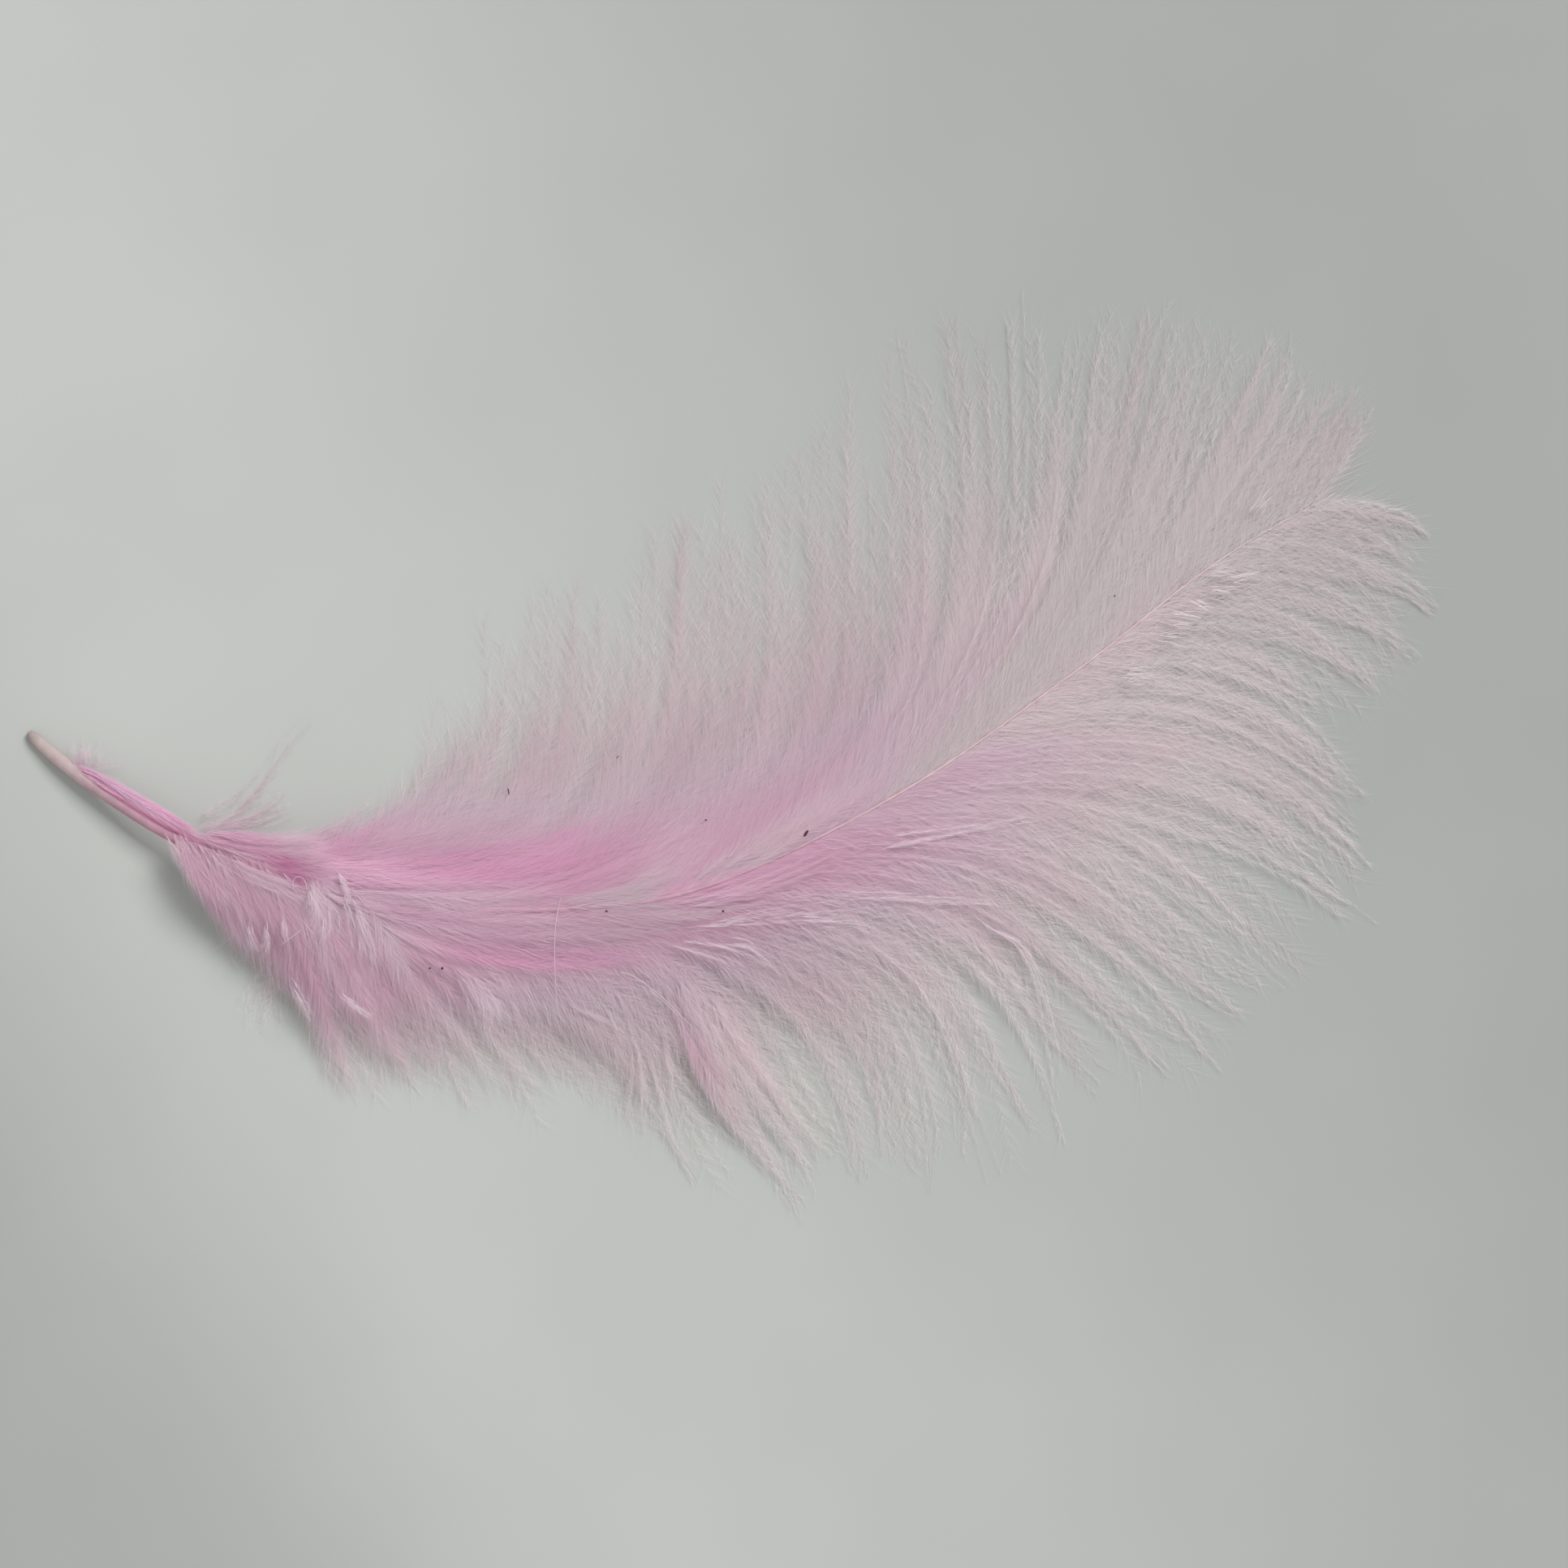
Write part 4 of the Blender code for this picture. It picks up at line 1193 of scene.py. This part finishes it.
def make_specks(relief):
    """Small dark crumbs, each a low lump of twelve faces."""
    made, tree = new_material("dirt")
    finish_surface(tree, mottled(tree, SPECK_NOISE, SPECK_STOPS), 0.6)
    vertices = []
    faces = []
    for x, y, length, width, degrees in SPECKS:
        first = len(vertices)
        along = turned(degrees)
        across = turned(degrees + 90)
        middle = np.array([x, y, float(relief.at(np.array([x]), np.array([y]))[0]) + SPECK_LIFT])
        for k in range(SPECK_SIDES):
            turn = 2 * math.pi * k / SPECK_SIDES
            reach = along * 0.5 * length * math.cos(turn)
            vertices.append(middle + reach + across * 0.5 * width * math.sin(turn))
        up = np.array([0.0, 0.0, 0.5 * width])
        vertices += [middle + up, middle - up]
        for k in range(SPECK_SIDES):
            j = (k + 1) % SPECK_SIDES
            faces.append((first + k, first + j, first + SPECK_SIDES))
            faces.append((first + j, first + k, first + SPECK_SIDES + 1))
    me = bpy.data.meshes.new("specks")
    me.from_pydata([list(v * MM) for v in vertices], [], faces)
    me.validate()
    add_piece("specks", me, made)


# By how far along the shaft.
HORN_STOPS = (
    (0.0, (0.58, 0.49, 0.47)),
    (0.012, (0.72, 0.63, 0.61)),
    (0.045, (0.75, 0.61, 0.62)),
    (0.08, (0.75, 0.52, 0.60)),
    (0.13, (0.77, 0.48, 0.58)),
    (0.20, (0.76, 0.48, 0.60)),
    (0.40, (0.84, 0.56, 0.68)),
    (0.55, (0.86, 0.62, 0.70)),
    (0.66, (0.95, 0.76, 0.77)),
    (1.0, (0.95, 0.80, 0.80)),
)
HORN_NOISE = 900.0
HORN_MOTTLE = ((0.35, (0.88, 0.86, 0.87)), (0.65, (1.0, 1.0, 1.0)))
# The rounded end of the quill, then even rings from there on.
QUILL_RINGS = (0.0, 0.1, 0.3, 0.6, 1.0, 1.6)
SHAFT_FROM = 2.5
SHAFT_RINGS = 110
SHAFT_SIDES = 14


def make_shaft():
    """The quill and the shaft as one tapering tube, its colour by how far along it is."""
    made, tree = new_material("horn")
    colour = ramp(tree, map_axes(tree)[2], HORN_STOPS)
    colour = mixed(tree, 1.0, colour, mottled(tree, HORN_NOISE, HORN_MOTTLE), "MULTIPLY")
    finish_surface(tree, colour, 0.6, 0.55)
    where = np.concatenate([QUILL_RINGS, np.linspace(SHAFT_FROM, LENGTH, SHAFT_RINGS)])
    sides = SHAFT_SIDES
    points = shaft_point(where)
    forward = unit(shaft_point(where + 0.4) - shaft_point(where - 0.4))
    side = unit(np.cross(np.array([0.0, 0, 1.0]), forward))
    up = np.cross(forward, side)
    radius = np.interp(where, *np.array(SHAFT_RADII).T)
    radius[0] = 0.1
    turns = 2 * math.pi * np.arange(sides) / sides
    ring = side[:, None] * np.cos(turns)[None, :, None] + up[:, None] * np.sin(turns)[None, :, None]
    rings = points[:, None] + ring * radius[:, None, None]
    rings[..., 2] = np.maximum(rings[..., 2], 0.0)
    faces = []
    maps = []
    down_map = np.clip(where / LENGTH, 0.002, 0.998)
    for i in range(len(where) - 1):
        for k in range(sides):
            j = (k + 1) % sides
            faces.append((i * sides + k, i * sides + j, (i + 1) * sides + j, (i + 1) * sides + k))
            left, right = k / sides, (k + 1) / sides
            near, far = down_map[i], down_map[i + 1]
            maps += [(left, near), (right, near), (right, far), (left, far)]
    for row, order in ((0, range(sides - 1, -1, -1)), (len(where) - 1, range(sides))):
        faces.append(tuple(row * sides + k for k in order))
        maps += [(0.5 + 0.3 * math.cos(turns[k]), down_map[row] + 0.001 * math.sin(turns[k])) for k in order]
    me = bpy.data.meshes.new("shaft")
    me.from_pydata((rings.reshape(-1, 3) * MM).tolist(), [], faces)
    layer = me.uv_layers.new(name="OFBake")
    layer.data.foreach_set("uv", np.array(maps, np.float32).ravel())
    me.validate()
    me.shade_smooth()
    add_piece("shaft", me, made)


# The paper's colour on the left, and the painted shade towards the upper right and in the lower left corner.
PAPER_LEFT = (0.445, 0.450, 0.432)
PAPER_RIGHT = (0.305, 0.309, 0.299)
PAPER_CORNER = (0.34, 0.344, 0.331)
PAPER_SIZE = 6.0
PAPER_NOISE = 40.0
PAPER_MOTTLE = ((0.3, (0.96, 0.96, 0.96)), (0.7, (1.0, 1.0, 1.0)))


def across_paper(tree, direction, start, end):
    """How far along a direction the paper is: 0 up to the start, and 1 from the end on."""
    along = node(tree, "ShaderNodeVectorMath", operation="DOT_PRODUCT")
    tree.links.new(object_place(tree), along.inputs[0])
    along.inputs[1].default_value = direction
    return graded(tree, along.outputs["Value"], start, end)


def make_floor():
    """Plain pale paper with painted shade: a little darker to the upper right and the lower left."""
    made, tree = new_material("paper")
    colour = mixed(tree, across_paper(tree, (1.0, 0.45, 0.0), -0.06, 0.09), PAPER_LEFT, PAPER_RIGHT)
    colour = mixed(tree, across_paper(tree, (-1.0, -0.6, 0.0), 0.055, 0.11), colour, PAPER_CORNER)
    colour = mixed(tree, 1.0, colour, mottled(tree, PAPER_NOISE, PAPER_MOTTLE), "MULTIPLY")
    finish_surface(tree, colour, 0.9)
    bpy.ops.mesh.primitive_plane_add(size=PAPER_SIZE, location=(0, 0, 0))
    floor = bpy.context.object
    floor.name = "paper"
    floor.data.materials.append(made)


ROOM_COLOUR = (0.80, 0.83, 0.82, 1.0)
ROOM_STRENGTH = 0.79
WINDOW_SIZE = 0.7
WINDOW_POWER = 24.6
WINDOW_PLACE = (0.75, 0.85, 1.15)


def make_light():
    world = bpy.data.worlds.new("room")
    bpy.context.scene.world = world
    world.use_nodes = True
    world.node_tree.nodes["Background"].inputs[0].default_value = ROOM_COLOUR
    world.node_tree.nodes["Background"].inputs[1].default_value = ROOM_STRENGTH
    lamp = bpy.data.lights.new("window", "AREA")
    lamp.shape = "SQUARE"
    lamp.size = WINDOW_SIZE
    lamp.energy = WINDOW_POWER
    window = bpy.data.objects.new("window", lamp)
    bpy.context.scene.collection.objects.link(window)
    window.location = WINDOW_PLACE
    to_feather = Vector((0.0, 0.0, 0.0)) - window.location
    window.rotation_euler = to_feather.to_track_quat("-Z", "Y").to_euler()


# The photo's frame in metres.
PHOTO_WIDTH = 0.15456
PHOTO_MIDDLE = (0.00496, -0.00276)
CAMERA_HEIGHT = 0.60
SENSOR = 36.0


def make_camera():
    """Straight down, with the photograph's frame."""
    camera = bpy.data.cameras.new("camera")
    camera.sensor_width = SENSOR
    camera.lens = SENSOR * CAMERA_HEIGHT / PHOTO_WIDTH
    camera.clip_start = 0.01
    camera.clip_end = 20.0
    ob = bpy.data.objects.new("camera", camera)
    ob.location = (*PHOTO_MIDDLE, CAMERA_HEIGHT)
    bpy.context.scene.collection.objects.link(ob)
    bpy.context.scene.camera = ob


make_camera()
make_floor()
make_light()
bpy.context.scene.view_settings.view_transform = "Standard"
make_shaft()
upper = fan(*UPPER, UPPER_STYLE, UPPER_ROOTS, UPPER_SIDE, UPPER_BARBS)
lower = fan(*LOWER, LOWER_STYLE, LOWER_ROOTS, LOWER_SIDE, LOWER_BARBS)
upper_under = fan(*UPPER, UNDERCOAT_STYLE, UPPER_UNDERCOAT_ROOTS, UPPER_SIDE, UPPER_UNDERCOAT_BARBS)
lower_under = fan(*LOWER, UNDERCOAT_STYLE, LOWER_UNDERCOAT_ROOTS, LOWER_SIDE, LOWER_UNDERCOAT_BARBS)
upper_points = fan(*UPPER, POINT_STYLE, UPPER_POINT_ROOTS, UPPER_SIDE, UPPER_POINT_BARBS)
lower_points = fan(*LOWER, POINT_STYLE, LOWER_POINT_ROOTS, LOWER_SIDE, LOWER_POINT_BARBS)
base_edge = strands(BASE_EDGE_GUIDES, BASE_EDGE_BARBS, (3.6, 3.9, 2.8, 0.5), 0.7, 0.05, 0.26)
base = strands(BASE_GUIDES, BASE_BARBS, (4.1, 4.0, 2.8, 0.4), 0.6, 0.05, 0.28)
make_vane("upper_down", upper, UPPER_BANDS, UPPER_PIECES, *UPPER_LOOK)
make_vane("lower_down", lower, LOWER_BANDS, LOWER_PIECES, *LOWER_LOOK)
make_undercoat("upper_undercoat", upper_under, UPPER_BANDS)
make_undercoat("lower_undercoat", lower_under, LOWER_BANDS)
make_points("upper_points", upper_points, UPPER_BANDS)
make_points("lower_points", lower_points, LOWER_BANDS)
add_family("base_down", [base_edge, base], BASE_BANDS, 13, (3.2, 2.6), (12, 24))
down = Relief([upper, lower, base_edge, base])
make_overlays(down)
make_quill_down()
make_white_hairs_and_painted_glints(down)
make_specks(down)
